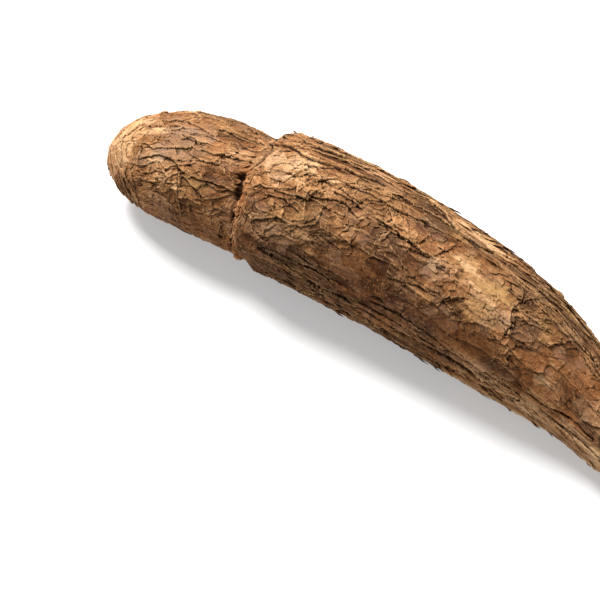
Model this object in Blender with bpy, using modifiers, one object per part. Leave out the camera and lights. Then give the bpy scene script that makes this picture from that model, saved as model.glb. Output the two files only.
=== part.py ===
"""A whole cassava root, laid on its flatter side: a blunt neck, a raised bark ring and a tapering tail.

The root is one solid.  It is lofted from round cross-sections along a gently bent line, smoothed by
subdivision, and cut flat where it rests.  +X runs from the neck to the tail, +Z is up, and the origin
is the centre of the underside of the bounding box.
"""

import math

import bmesh
import bpy
from mathutils import Matrix, Vector

MM = 0.001

OBJECT_NAME = "cassava_root"

# The whole root, in millimetres.
LENGTH = 305.0
NECK_END_LENGTH = 51.0
TAIL_END_LENGTH = 32.0
REST_DEPTH = 0.9

# The run of the root, in millimetres: distance from the neck's tip, sideways place of the centre,
# gap between the underside and the table, and radius.
RUN = (
    (48.0, -4.8, 4.0, 28.3),
    (62.0, -3.0, 3.7, 28.9),
    (74.0, -1.6, 3.2, 28.6),
    (82.0, -0.2, 2.7, 28.4),
    (85.5, 0.4, 2.1, 29.3),
    (88.5, 0.8, 0.9, 31.8),
    (95.0, 1.3, 0.3, 33.6),
    (104.0, 2.0, 0.0, 34.5),
    (120.0, 3.2, 0.0, 34.8),
    (144.0, 4.8, 0.0, 34.3),
    (170.0, 4.6, 0.0, 33.4),
    (194.0, 3.6, 0.3, 31.8),
    (216.0, 2.6, 0.8, 29.9),
    (236.0, 1.6, 0.7, 27.0),
    (254.0, -0.4, 0.2, 23.3),
    (267.0, -3.4, 0.9, 20.4),
    (277.0, -6.8, 1.9, 17.9),
)

# Where the tips of the two rounded ends lie: sideways place and height, in millimetres.
NECK_TIP = (-11.5, 21.5)
TAIL_TIP = (-16.5, 16.5)

# Angles, from the tip, of the cross-sections that round off each end.
END_ANGLES = (16.0, 38.0, 62.0)

# Slight unevenness of the cross-sections, as shares of the radius.
OVAL = 0.018
THREE_SIDED = 0.012
TWIST_PER_MM = 0.016

SEGMENTS = 12
SMOOTH_LEVELS = 2
# A ring of few points shrinks by this share when it is subdivided into a smooth one.
CAGE_SHRINK = (2.0 + math.cos(2.0 * math.pi / SEGMENTS)) / 3.0

BARK_COLOUR = (0.26, 0.145, 0.068, 1.0)
BARK_ROUGHNESS = 0.82


def clear_scene():
    """Remove every object that is already in the file."""
    for old in list(bpy.data.objects):
        bpy.data.objects.remove(old, do_unlink=True)


def new_collection(name):
    """Return a new collection that hangs from the scene's own."""
    collection = bpy.data.collections.new(name)
    bpy.context.scene.collection.children.link(collection)
    return collection


def bark_material():
    """Return the dull brown bark."""
    material = bpy.data.materials.new("bark")
    material.use_nodes = True
    shader = material.node_tree.nodes["Principled BSDF"]
    shader.inputs["Base Color"].default_value = BARK_COLOUR
    shader.inputs["Roughness"].default_value = BARK_ROUGHNESS
    shader.inputs["Metallic"].default_value = 0.0
    material.diffuse_color = BARK_COLOUR
    return material


def body_sections():
    """Return (centre, radius) of each cross-section between the two rounded ends."""
    sections = []
    for along, sideways, gap, radius in RUN:
        sections.append((Vector((along, sideways, gap + radius)), radius))
    return sections


def end_sections(shoulder, tip, radius):
    """Return (centre, radius) of the sections that round off one end, from the tip to the shoulder."""
    sections = []
    for degrees in END_ANGLES:
        angle = math.radians(degrees)
        centre = tip.lerp(shoulder, 1.0 - math.cos(angle))
        sections.append((centre, radius * math.sin(angle)))
    return sections


def root_sections():
    """Return (centre, radius) of every cross-section, from the neck's tip to the tail's tip."""
    body = body_sections()
    neck_centre, neck_radius = body[0]
    tail_centre, tail_radius = body[-1]
    neck_tip = Vector((neck_centre.x - NECK_END_LENGTH, *NECK_TIP))
    tail_tip = Vector((tail_centre.x + TAIL_END_LENGTH, *TAIL_TIP))
    neck = end_sections(neck_centre, neck_tip, neck_radius)
    tail = end_sections(tail_centre, tail_tip, tail_radius)
    return neck + body + tail[::-1]


def uneven(angle, along):
    """Return the factor that makes a round section a little oval and three-sided, turning along the root."""
    turn = along * TWIST_PER_MM
    oval = OVAL * math.cos(2.0 * angle + turn)
    return 1.0 + oval + THREE_SIDED * math.cos(3.0 * angle - 2.0 * turn)


def add_section(bm, sections, index, cap):
    """Add one ring of points square to the root's run, and return its edges."""
    centre, radius = sections[index]
    before = sections[max(index - 1, 0)][0]
    after = sections[min(index + 1, len(sections) - 1)][0]
    forward = (after - before).normalized()
    side = Vector((0.0, 0.0, 1.0)).cross(forward).normalized()
    top = forward.cross(side)
    frame = Matrix((side, top, forward)).transposed().to_4x4()
    frame.translation = centre * MM
    cage_radius = radius * MM / CAGE_SHRINK
    made = bmesh.ops.create_circle(
        bm, cap_ends=cap, segments=SEGMENTS, radius=cage_radius, matrix=frame
    )
    for vert in made["verts"]:
        arm = vert.co - centre * MM
        angle = math.atan2(arm.dot(top), arm.dot(side))
        vert.co = centre * MM + arm * uneven(angle, centre.x)
    ring = set(made["verts"])
    return [edge for edge in bm.edges if set(edge.verts) <= ring]


def loft_root(sections):
    """Return the coarse closed cage of the root as a mesh."""
    bm = bmesh.new()
    last = len(sections) - 1
    rings = []
    for index in range(len(sections)):
        rings.append(add_section(bm, sections, index, cap=index in (0, last)))
    for ring, following in zip(rings, rings[1:]):
        bmesh.ops.bridge_loops(bm, edges=ring + following)
    bmesh.ops.recalc_face_normals(bm, faces=bm.faces)
    mesh = bpy.data.meshes.new(OBJECT_NAME)
    bm.to_mesh(mesh)
    bm.free()
    return mesh


def smooth(part):
    """Round the cage with subdivision."""
    rounding = part.modifiers.new("rounding", "SUBSURF")
    rounding.levels = SMOOTH_LEVELS
    rounding.render_levels = SMOOTH_LEVELS
    part.data.shade_smooth()


def smoothed_corners(part):
    """Return the lowest and highest corner of the part as its modifiers leave it."""
    depsgraph = bpy.context.evaluated_depsgraph_get()
    evaluated = part.evaluated_get(depsgraph)
    mesh = evaluated.to_mesh()
    points = [vertex.co.copy() for vertex in mesh.vertices]
    evaluated.to_mesh_clear()
    low = Vector(min(point[axis] for point in points) for axis in range(3))
    high = Vector(max(point[axis] for point in points) for axis in range(3))
    return low, high


def settle(part):
    """Fit the root to its length, centre it, and let its underside dip just below the table."""
    low, high = smoothed_corners(part)
    stretch = LENGTH * MM / (high.x - low.x)
    part.data.transform(Matrix.Diagonal((stretch, 1.0, 1.0, 1.0)))
    low, high = smoothed_corners(part)
    middle = (low + high) / 2.0
    shift = Vector((-middle.x, -middle.y, -low.z - REST_DEPTH * MM))
    part.data.transform(Matrix.Translation(shift))


def table_cutter(part, collection):
    """Return a slab whose top is the table: it cuts the root's resting face."""
    size = 2.0 * LENGTH * MM
    thickness = 20.0 * MM
    bpy.ops.mesh.primitive_cube_add(size=1.0, location=(0.0, 0.0, -thickness / 2.0))
    cutter = bpy.context.object
    cutter.name = "table_cutter"
    cutter.data.transform(Matrix.Diagonal((size, size, thickness, 1.0)))
    cutter.display_type = "WIRE"
    cutter.hide_render = True
    for other in list(cutter.users_collection):
        other.objects.unlink(cutter)
    collection.objects.link(cutter)
    cut = part.modifiers.new("resting_face", "BOOLEAN")
    cut.operation = "DIFFERENCE"
    cut.solver = "EXACT"
    cut.object = cutter
    return cutter


def build_root(parts, cutters):
    """Build the root with its bark ring, rounded ends and resting face."""
    root = bpy.data.objects.new(OBJECT_NAME, loft_root(root_sections()))
    parts.objects.link(root)
    root.data.materials.append(bark_material())
    smooth(root)
    settle(root)
    table_cutter(root, cutters)
    return root


def main():
    """Build the whole part."""
    clear_scene()
    parts = new_collection(OBJECT_NAME)
    cutters = new_collection("cutters")
    build_root(parts, cutters)


main()
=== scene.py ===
"""The looks of a whole cassava root: flaking bark in relief, loose papery scales, and a plain studio.

Lengths in the classes are millimetres along the root, measured from the neck's tip, and angles are degrees
around it: 0 at the outer side of its bend, 90 on top, 180 at the inner side and 270 underneath.
"""

import logging
import math
from dataclasses import dataclass, field
from enum import Enum

import bpy
import numpy as np
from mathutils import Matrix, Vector
from mathutils.bvhtree import BVHTree


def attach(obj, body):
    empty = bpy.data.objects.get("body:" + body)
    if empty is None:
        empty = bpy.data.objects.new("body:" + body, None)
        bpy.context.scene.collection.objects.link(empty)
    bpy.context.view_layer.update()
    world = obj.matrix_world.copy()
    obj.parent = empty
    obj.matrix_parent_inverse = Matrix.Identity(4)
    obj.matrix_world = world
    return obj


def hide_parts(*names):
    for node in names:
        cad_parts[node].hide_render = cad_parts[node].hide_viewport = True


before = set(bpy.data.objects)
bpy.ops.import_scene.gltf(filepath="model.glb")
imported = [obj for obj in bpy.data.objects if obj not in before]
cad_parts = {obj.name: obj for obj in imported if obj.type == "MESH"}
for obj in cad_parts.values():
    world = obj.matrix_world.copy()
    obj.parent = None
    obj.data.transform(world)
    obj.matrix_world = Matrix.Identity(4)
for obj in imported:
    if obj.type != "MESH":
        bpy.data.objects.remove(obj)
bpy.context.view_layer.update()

MM = 0.001
NODE = "cassava_root"
BODY = "root"

LOG = logging.getLogger("cassava")

NEIGHBOURS = [(x, y, z) for x in (-1, 0, 1) for y in (-1, 0, 1) for z in (-1, 0, 1)]

Colour = tuple[float, float, float]
Size = tuple[float, float, float]
Socket = bpy.types.NodeSocket


# ---- Small tools ----


def smoothstep(low: float, high: float, value: np.ndarray) -> np.ndarray:
    """Rise smoothly from 0 to 1 between two values.

    Args:
        low: Where the rise starts.
        high: Where it ends.
        value: The field to read.

    Returns:
        The field, between 0 and 1.
    """
    t = np.clip((value - low) / (high - low), 0.0, 1.0)
    return t * t * (3.0 - 2.0 * t)


def angle_gap(around: np.ndarray, centre: float) -> np.ndarray:
    """Return how far each angle is from a centre, the short way round, in degrees."""
    return (around - centre + 180.0) % 360.0 - 180.0


def spline_weights(fine: np.ndarray, coarse: int, closed: bool) -> np.ndarray:
    """Weights that turn coarse samples into a smooth line through them.

    Args:
        fine: Places to read, in steps of the coarse samples.
        coarse: How many coarse samples there are.
        closed: Whether the samples go round in a ring.

    Returns:
        A matrix with a row for each place and a column for each coarse sample.
    """
    cell = np.floor(fine).astype(int)
    t = fine - cell
    parts = (
        (1.0 - t) ** 3 / 6.0,
        (3.0 * t**3 - 6.0 * t**2 + 4.0) / 6.0,
        (-3.0 * t**3 + 3.0 * t**2 + 3.0 * t + 1.0) / 6.0,
        t**3 / 6.0,
    )
    weights = np.zeros((len(fine), coarse))
    rows = np.arange(len(fine))
    for step, part in enumerate(parts):
        column = cell + step - 1
        column = column % coarse if closed else np.clip(column, 0, coarse - 1)
        np.add.at(weights, (rows, column), part)
    return weights


def hump(gap: np.ndarray, reach: float, power: int = 2) -> np.ndarray:
    """Fall smoothly from 1 in the middle to 0 on both sides.

    Args:
        gap: How far each point lies from the middle.
        reach: How far the hump reaches, in the same unit.
        power: How flat its top is: 2 for a round one, 4 for a flat one.

    Returns:
        The field, between 0 and 1.
    """
    return np.exp(-((gap / reach) ** power))


def add_object(name: str, data: bpy.types.ID) -> bpy.types.Object:
    """Put an object into the scene.

    Args:
        name: What it is called.
        data: Its mesh, light or camera.

    Returns:
        The object.
    """
    made = bpy.data.objects.new(name, data)
    bpy.context.scene.collection.objects.link(made)
    return made


def store_field(mesh: bpy.types.Mesh, name: str, values: np.ndarray) -> None:
    """Keep a field on a mesh, as vectors where it has columns and as plain numbers otherwise.

    Args:
        mesh: The mesh that carries it.
        name: What the field is called.
        values: Its value at each of the mesh's points.
    """
    kind, key = ("FLOAT_VECTOR", "vector") if values.ndim > 1 else ("FLOAT", "value")
    layer = mesh.attributes.new(name, kind, "POINT")
    layer.data.foreach_set(key, values.astype(np.float32).ravel())


def blur(field_in: np.ndarray, sigma: float) -> np.ndarray:
    """Soften a field that is open along its rows and closed around its columns.

    Args:
        field_in: The field, rows along the root and columns around it.
        sigma: The softening, in steps of the grid.

    Returns:
        The softened field.
    """
    reach = int(math.ceil(2.6 * sigma))
    steps = np.arange(-reach, reach + 1)
    kernel = np.exp(-0.5 * (steps / sigma) ** 2)
    kernel = (kernel / kernel.sum()).astype(np.float32)
    padded = np.pad(field_in, ((reach, reach), (0, 0)), mode="edge")
    rows = field_in.shape[0]
    along = sum(k * padded[i : i + rows] for i, k in enumerate(kernel))
    padded = np.pad(along, ((0, 0), (reach, reach)), mode="wrap")
    columns = field_in.shape[1]
    return sum(k * padded[:, i : i + columns] for i, k in enumerate(kernel))


class RandomCells:
    """Repeatable random numbers for the cells of an endless grid."""

    COUNT = 98317
    STRIDES = (1, 7919, 50021)

    def __init__(self, seed: int, channels: int) -> None:
        """Draw the numbers.

        Args:
            seed: Which set of numbers to draw.
            channels: How many numbers each cell has.
        """
        draw = np.random.default_rng(seed).random((channels, self.COUNT))
        self.values = draw.astype(np.float32)

    def index(self, x: np.ndarray, y: np.ndarray, z: np.ndarray) -> np.ndarray:
        """Return where each cell's numbers are kept."""
        return (x * self.STRIDES[0] + y * self.STRIDES[1] + z * self.STRIDES[2]) % self.COUNT


class SoftNoise:
    """Smooth random field in space, between -1 and 1."""

    def __init__(self, seed: int) -> None:
        """Draw the field's corner values from a seed."""
        self.cells = RandomCells(seed, 1)

    def at(self, place: np.ndarray, size: Size) -> np.ndarray:
        """Read one octave.

        Args:
            place: Points in millimetres, three rows of coordinates.
            size: The size of a lump along each coordinate, in millimetres.

        Returns:
            The field at each point.
        """
        cell, fade = [], []
        for axis in range(3):
            scaled = place[axis] / size[axis]
            low = np.floor(scaled)
            t = scaled - low
            cell.append(low.astype(np.int64))
            fade.append((t * t * t * (t * (t * 6.0 - 15.0) + 10.0)).astype(np.float32))
        corner = self.cells.values[0]
        total = np.zeros(place.shape[1:], np.float32)
        for dx in (0, 1):
            wx = fade[0] if dx else 1.0 - fade[0]
            for dy in (0, 1):
                wy = fade[1] if dy else 1.0 - fade[1]
                for dz in (0, 1):
                    wz = fade[2] if dz else 1.0 - fade[2]
                    spot = self.cells.index(cell[0] + dx, cell[1] + dy, cell[2] + dz)
                    total += wx * wy * wz * corner[spot]
        return total * 2.0 - 1.0

    def octaves(self, place: np.ndarray, size: Size, count: int, keep: float = 0.5) -> np.ndarray:
        """Read several octaves, each half the size of the last.

        Args:
            place: Points in millimetres, three rows of coordinates.
            size: The size of the largest lumps along each coordinate.
            count: How many octaves.
            keep: The strength of each octave as a share of the last.

        Returns:
            The field at each point, about -1 to 1.
        """
        total = np.zeros(place.shape[1:], np.float32)
        weight, whole = 1.0, 0.0
        for octave in range(count):
            scale = 0.5**octave
            shifted = place + 17.3 * (octave + 1)
            total += weight * self.at(shifted, tuple(s * scale for s in size))
            whole += weight
            weight *= keep
        return total / whole


@dataclass(frozen=True)
class Laid:
    """What a layer of bark gives at each point of the grid.

    Attributes:
        height: Its height, in millimetres.
        owner: The random number of the piece that lies there, 0 to 1.
        edge: How near the piece's edge the point is, 0 inside to 1 at the edge.
    """

    height: np.ndarray
    owner: np.ndarray
    edge: np.ndarray

    def under(self, top: "Laid", share: np.ndarray) -> "Laid":
        """Blend another layer over this one.

        Args:
            top: The other layer.
            share: How much of it shows at each point, 0 to 1.

        Returns:
            The blended layer.
        """
        rest = 1.0 - share
        return Laid(
            self.height * rest + top.height * share,
            self.owner * rest + top.owner * share,
            self.edge * rest + top.edge * share,
        )

    def faded(self, height_share: np.ndarray, edge_share: np.ndarray | float) -> "Laid":
        """Wear the layer down.

        Args:
            height_share: How much of its height is left.
            edge_share: How much of its edges is left.

        Returns:
            The worn layer.
        """
        return Laid(self.height * height_share, self.owner, self.edge * edge_share)


def pile(*parts: tuple[Laid, float]) -> Laid:
    """Pile layers on one another.

    Args:
        parts: Each layer with its weight in the owner and edge fields.

    Returns:
        The pile: heights add up, owners mix by weight and the nearest edge counts.
    """
    height = sum(layer.height for layer, _ in parts)
    owner = sum(weight * layer.owner for layer, weight in parts) / sum(weight for _, weight in parts)
    edge = np.maximum.reduce([min(1.0, 2.0 * weight) * layer.edge for layer, weight in parts])
    return Laid(height, owner, edge)


@dataclass(frozen=True)
class ShingleLayer:
    """Angular flakes that come out of the bark like shingles, each rising to a free edge.

    Attributes:
        seed: Which set of flakes.
        length: Spacing along the root, in millimetres.
        width: Spacing across it, in millimetres.
        thickness: How much higher the highest flake lies than the lowest, in millimetres.
        lift: How far a flake rises in the length of a spacing, in millimetres.
        curl: How far its edge turns up, in millimetres.
        lean: The direction of the free edges, in degrees from the tail towards a rising angle.
        spread: How far that direction varies, in degrees.
        cover: The share of the places that carry a flake.
        reach: Half the width of a flake as a share of the spacing.
        ragged: How uneven its outline is, as a share of the spacing.
    """

    seed: int
    length: float
    width: float
    thickness: float
    lift: float
    curl: float
    lean: float = 35.0
    spread: float = 45.0
    cover: float = 0.75
    reach: float = 0.72
    ragged: float = 0.10

    SIDES = (1.0, 1.22, 0.92, 1.10, 1.32)

    def build(self, place: np.ndarray, turn: np.ndarray) -> Laid:
        """Lay the flakes.

        Args:
            place: Points in millimetres, three rows of coordinates.
            turn: The angle around the root at each point, in radians.

        Returns:
            The layer, with the flakes' rims as its edges.
        """
        size = (self.length, self.width, self.width)
        cells = RandomCells(self.seed, 7)
        spin = cells.values[3] * math.tau
        lean = np.radians(self.lean + self.spread * (2.0 * cells.values[4] - 1.0))
        spin_cos, spin_sin = np.cos(spin), np.sin(spin)
        lean_cos, lean_sin = np.cos(lean), np.sin(lean)
        wobble = SoftNoise(self.seed + 1)
        fray = self.ragged * wobble.octaves(place, (self.width * 0.5,) * 3, 3, 0.75)
        scaled = [(place[axis] / size[axis]).astype(np.float32) for axis in range(3)]
        base = [np.floor(value).astype(np.int64) for value in scaled]
        across_y, across_z = -np.sin(turn), np.cos(turn)
        height = np.zeros(place.shape[1:], np.float32)
        owner = np.full_like(height, 0.5)
        rim = np.zeros_like(height)
        corners = [math.tau * side / len(self.SIDES) for side in range(len(self.SIDES))]
        for dx, dy, dz in NEIGHBOURS:
            cell = (base[0] + dx, base[1] + dy, base[2] + dz)
            spot = cells.index(*cell)
            draw = [channel[spot] for channel in cells.values]
            gap = [scaled[i] - cell[i].astype(np.float32) - 0.1 - 0.8 * draw[i] for i in range(3)]
            across = gap[1] * across_y + gap[2] * across_z
            sunk = gap[1] ** 2 + gap[2] ** 2 - across**2
            c, s = spin_cos[spot], spin_sin[spot]
            one, two = gap[0] * c + across * s, across * c - gap[0] * s
            share = np.full_like(height, -9.0)
            for side, corner in zip(self.SIDES, corners):
                share = np.maximum(share, side * (math.cos(corner) * one + math.sin(corner) * two))
            share = (share + fray) / self.reach + 0.5 * sunk
            edge = smoothstep(0.80, 1.0, share)
            rise = gap[0] * lean_cos[spot] + across * lean_sin[spot]
            level = self.thickness * draw[5] + self.lift * rise + self.curl * edge
            shown = (share < 1.0) & (draw[6] < self.cover) & (level > height)
            height = np.where(shown, level, height)
            owner = np.where(shown, draw[6] / self.cover, owner)
            rim = np.where(shown, edge * (rise > 0.0), rim)
        return Laid(height.astype(np.float32), owner, rim)


@dataclass(frozen=True)
class MosaicLayer:
    """Angular pieces of bark that fit together like a mosaic, each a little tilted, some with cracks between.

    Attributes:
        seed: Which set of pieces.
        length: Spacing along the root, in millimetres.
        width: Spacing across it, in millimetres.
        thickness: How much higher the highest piece lies than the lowest, in millimetres.
        lift: How far a piece rises towards its free edge, in millimetres.
        crack: Depth of the cracks between pieces, in millimetres.
        gape: Width of the cracks where they are open, in millimetres.
        ragged: How far the outlines wander, in millimetres.
        closed: How much of the outlines is closed, from -1 for none to 1 for all.
    """

    seed: int
    length: float
    width: float
    thickness: float
    lift: float
    crack: float
    gape: float
    ragged: float
    closed: float = 0.0

    def build(self, place: np.ndarray, turn: np.ndarray) -> Laid:
        """Lay the pieces.

        Args:
            place: Points in millimetres, three rows of coordinates.
            turn: The angle around the root at each point, in radians.

        Returns:
            The layer, with its open cracks as its edges.
        """
        size = (self.length, self.width, self.width)
        cells = RandomCells(self.seed, 7)
        wobble = SoftNoise(self.seed + 1)
        grains = (self.width * 0.30,) * 3
        wander = [wobble.octaves(place + 23.0 * axis, grains, 3, 0.7) for axis in range(3)]
        scaled = [(place[i] + self.ragged * wander[i]) / size[i] for i in range(3)]
        base = [np.floor(value).astype(np.int64) for value in scaled]
        across_y, across_z = -np.sin(turn), np.cos(turn)
        first = np.full(place.shape[1:], 9.0, np.float32)
        second = first.copy()
        height, owner = np.zeros_like(first), np.zeros_like(first)
        for dx, dy, dz in NEIGHBOURS:
            cell = (base[0] + dx, base[1] + dy, base[2] + dz)
            spot = cells.index(*cell)
            draw = [channel[spot] for channel in cells.values]
            gap = [scaled[i] - cell[i] - 0.1 - 0.8 * draw[i] for i in range(3)]
            across = gap[1] * across_y + gap[2] * across_z
            distance = np.sqrt(gap[0] ** 2 + gap[1] ** 2 + gap[2] ** 2)
            rise = gap[0] * (0.1 + 0.9 * draw[3]) + across * (1.3 * draw[4] - 0.3)
            level = self.thickness * draw[5] + self.lift * rise
            nearer = distance < first
            second = np.where(nearer, first, np.minimum(second, distance))
            first = np.where(nearer, distance, first)
            height = np.where(nearer, level, height)
            owner = np.where(nearer, draw[6], owner)
        border = (second - first) * 0.5 * self.width
        spread = (self.length * 1.1, self.width * 1.1, self.width * 1.1)
        opened = smoothstep(self.closed - 0.25, self.closed + 0.55, wobble.at(place + 57.0, spread))
        opening = np.maximum(self.gape * opened, 0.02)
        near = (1.0 - smoothstep(0.35, 1.0, border / opening)) * np.minimum(1.0, 2.0 * opened)
        return Laid(height - self.crack * near, owner, near.astype(np.float32))


# ---- The root's smooth form, read from the CAD solid ----


@dataclass
class RootForm:
    """The smooth form of the root as an even grid, read from the CAD solid by casting rays.

    Attributes:
        step: Size of a grid square, in millimetres.
        neck_cap: Distance of the neck cap's centre from the neck's tip, in millimetres.
        tail_cap: The same at the tail.
        coarse_rows: How many rings of rays are cast.
        coarse_columns: How many rays each ring has.
        slice_step: Spacing of the slices that give the root's middle line, in millimetres.
        slice_half: Half the thickness of a slice, as a share of that spacing.
        middle_reach: How many slices on each side the middle line is smoothed over.
        tip_angle: How near the cap's axis the first ring lies, in degrees.
        cap_stretch: Length of a cap's outline as a share of its depth.
        girth_radius: The radius at which sizes across the root are true on its straight map, in millimetres.
        rows: How many rings the grid has.
        columns: How many points a ring has.
        point: The grid's points, in millimetres.
        normal: The direction out of the bark at each point.
        along: Distance from the neck's tip, in millimetres.
        around: Angle around the root, in degrees.
        straight: The root's points with its bend taken out, in millimetres.
        tube: The same on a tube of the girth radius.
    """

    step: float = 0.32
    neck_cap: float = 32.0
    tail_cap: float = 22.0
    coarse_rows: int = 140
    coarse_columns: int = 96
    slice_step: float = 3.0
    slice_half: float = 1.6
    middle_reach: int = 4
    tip_angle: float = 0.6
    cap_stretch: float = 1.4
    girth_radius: float = 33.5
    rows: int = field(init=False)
    columns: int = field(init=False)
    point: np.ndarray = field(init=False)
    normal: np.ndarray = field(init=False)
    along: np.ndarray = field(init=False)
    around: np.ndarray = field(init=False)
    straight: np.ndarray = field(init=False)
    tube: np.ndarray = field(init=False)

    def __post_init__(self) -> None:
        """Read the CAD solid and fill the grid."""
        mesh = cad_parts[NODE].data
        corners = [vertex.co.copy() for vertex in mesh.vertices]
        polygons = [tuple(polygon.vertices) for polygon in mesh.polygons]
        self._tree = BVHTree.FromPolygons(corners, polygons)
        self._cloud = np.array(corners) / MM
        self._start = self._cloud[:, 0].min()
        self._end = self._cloud[:, 0].max()
        self._find_middle_line()
        self._lay_grid()

    def _find_middle_line(self) -> None:
        """Find the middle of the root in slices square to X, and smooth that line."""
        places = np.arange(self._start + self.slice_step, self._end, self.slice_step)
        middles = []
        for place in places:
            near = np.abs(self._cloud[:, 0] - place) < self.slice_half * self.slice_step
            slice_points = self._cloud[near][:, 1:]
            middles.append((slice_points.min(0) + slice_points.max(0)) / 2.0)
        kernel = np.hanning(2 * self.middle_reach + 3)[1:-1]
        kernel /= kernel.sum()
        smooth = []
        for axis in range(2):
            line = np.pad([middle[axis] for middle in middles], self.middle_reach, mode="edge")
            smooth.append(np.convolve(line, kernel, "valid"))
        self._line_places = places
        self._line = smooth

    def middle(self, place: np.ndarray) -> tuple[np.ndarray, np.ndarray]:
        """Find the root's middle at places along X.

        Args:
            place: The X of each place, in millimetres.

        Returns:
            The Y and the Z of the middle, in millimetres.
        """
        y = np.interp(place, self._line_places, self._line[0])
        z = np.interp(place, self._line_places, self._line[1])
        return y, z

    def _stations(self, share: np.ndarray) -> tuple[np.ndarray, np.ndarray]:
        """Find where each ring's rays start, and how far they lean towards a tip.

        Args:
            share: Each ring's place in the grid, from 0 at the neck's tip to 1 at the tail's.

        Returns:
            The X of each ring's middle in millimetres, and the lean in radians, from -90 to 90 degrees.
        """
        neck_x, tail_x = self._start + self.neck_cap, self._end - self.tail_cap
        neck_arc, tail_arc = self.neck_cap * self.cap_stretch, self.tail_cap * self.cap_stretch
        whole = neck_arc + (tail_x - neck_x) + tail_arc
        run = share * whole
        tip = math.radians(90.0 - self.tip_angle)
        neck_lean = -tip * (1.0 - np.clip(run / neck_arc, 0.0, 1.0))
        tail_lean = tip * (1.0 - np.clip((whole - run) / tail_arc, 0.0, 1.0))
        x = np.clip(neck_x + run - neck_arc, neck_x, tail_x)
        return x, neck_lean + tail_lean

    def _lay_grid(self) -> None:
        """Cast coarse rays, smooth their lengths and spread them over the fine grid."""
        caps = self.neck_cap + self.tail_cap
        length = self.cap_stretch * caps + self._end - self._start - caps
        self.rows = int(length / self.step)
        self.columns = int(math.tau * self.girth_radius / self.step)
        coarse = self._cast(self.coarse_rows, self.coarse_columns)
        fine_rows = np.linspace(0.0, self.coarse_rows - 1.0, self.rows)
        fine_columns = np.linspace(0.0, self.coarse_columns, self.columns, endpoint=False)
        down = spline_weights(fine_rows, self.coarse_rows, closed=False)
        across = spline_weights(fine_columns, self.coarse_columns, closed=True)
        reach = down @ coarse @ across.T
        x, y, z, direction = self._rays(self.rows, self.columns)
        origin = np.stack((x, y, z))[:, :, None]
        self.point = (origin + direction * reach).astype(np.float32)
        self._measure(y, z)

    def _rays(self, rows: int, columns: int) -> tuple[np.ndarray, np.ndarray, np.ndarray, np.ndarray]:
        """Lay out a grid of rays.

        Args:
            rows: How many rings.
            columns: How many rays a ring has.

        Returns:
            X, Y and Z of each ring's middle in millimetres, and the directions as three grids.
        """
        x, lean = self._stations(np.linspace(0.0, 1.0, rows))
        y, z = self.middle(x)
        turn = np.linspace(0.0, math.tau, columns, endpoint=False)
        direction = np.stack(
            (
                np.repeat(np.sin(lean)[:, None], columns, axis=1),
                np.cos(lean)[:, None] * np.cos(turn)[None, :],
                np.cos(lean)[:, None] * np.sin(turn)[None, :],
            )
        )
        return x, y, z, direction

    def _cast(self, rows: int, columns: int) -> np.ndarray:
        """Cast a grid of rays at the CAD surface.

        Args:
            rows: How many rings.
            columns: How many rays a ring has.

        Returns:
            The length of each ray, in millimetres.
        """
        x, y, z, direction = self._rays(rows, columns)
        found = np.zeros((rows, columns))
        for row in range(rows):
            origin = Vector((x[row], y[row], z[row])) * MM
            for column in range(columns):
                heading = Vector(direction[:, row, column])
                hit = self._tree.ray_cast(origin, heading)
                found[row, column] = hit[3] / MM
        return found

    def _measure(self, y: np.ndarray, z: np.ndarray) -> None:
        """Work out the normals and the coordinates that follow the root.

        Args:
            y: Y of each ring's middle, in millimetres; not used.
            z: Z of each ring's middle; not used.
        """
        down = np.gradient(self.point, axis=1)
        wide = np.concatenate((self.point[:, :, -1:], self.point, self.point[:, :, :1]), axis=2)
        across = (wide[:, :, 2:] - wide[:, :, :-2]) / 2.0
        normal = np.cross(across, down, axis=0)
        self.normal = (normal / np.maximum(np.linalg.norm(normal, axis=0), 1e-9)).astype(np.float32)
        middle_y, middle_z = self.middle(self.point[0])
        side, up = self.point[1] - middle_y, self.point[2] - middle_z
        self.along = (self.point[0] - self._start).astype(np.float32)
        self.around = (np.degrees(np.arctan2(up, side)) % 360.0).astype(np.float32)
        self.straight = np.stack((self.along, side, up)).astype(np.float32)
        turn = np.radians(self.around)
        flat = np.stack((self.along, self.girth_radius * np.cos(turn), self.girth_radius * np.sin(turn)))
        self.tube = flat.astype(np.float32)


# ---- What grows, cracks and peels on the bark ----


@dataclass(frozen=True)
class Patch:
    """A stretch of bark that differs from its surroundings, with a soft uneven outline.

    Attributes:
        along: Distance of its centre from the neck's tip, in millimetres.
        around: Angle of its centre, in degrees.
        length: Half its length along the root, in millimetres.
        width: Half its width across the root, in millimetres.
        tone: How much lighter or darker it is, -1 to 1.
        warm: How much redder it is, or yellower where negative.
        grey: How much greyer it is.
        calm: How far its relief is worn smooth, 0 to 1.
    """

    along: float
    around: float
    length: float
    width: float
    tone: float = 0.0
    warm: float = 0.0
    grey: float = 0.0
    calm: float = 0.0


@dataclass(frozen=True)
class Crack:
    """A crack that runs through chosen places on the bark.

    Attributes:
        path: Distance in millimetres and angle in degrees of each place it runs through.
        width: Half the width of the open crack, in millimetres.
        depth: Its depth in millimetres.
        step: How much higher the bark lies on its left side than on its right, in millimetres.
    """

    path: tuple[tuple[float, float], ...]
    width: float = 0.45
    depth: float = 1.0
    step: float = 0.0


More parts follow.
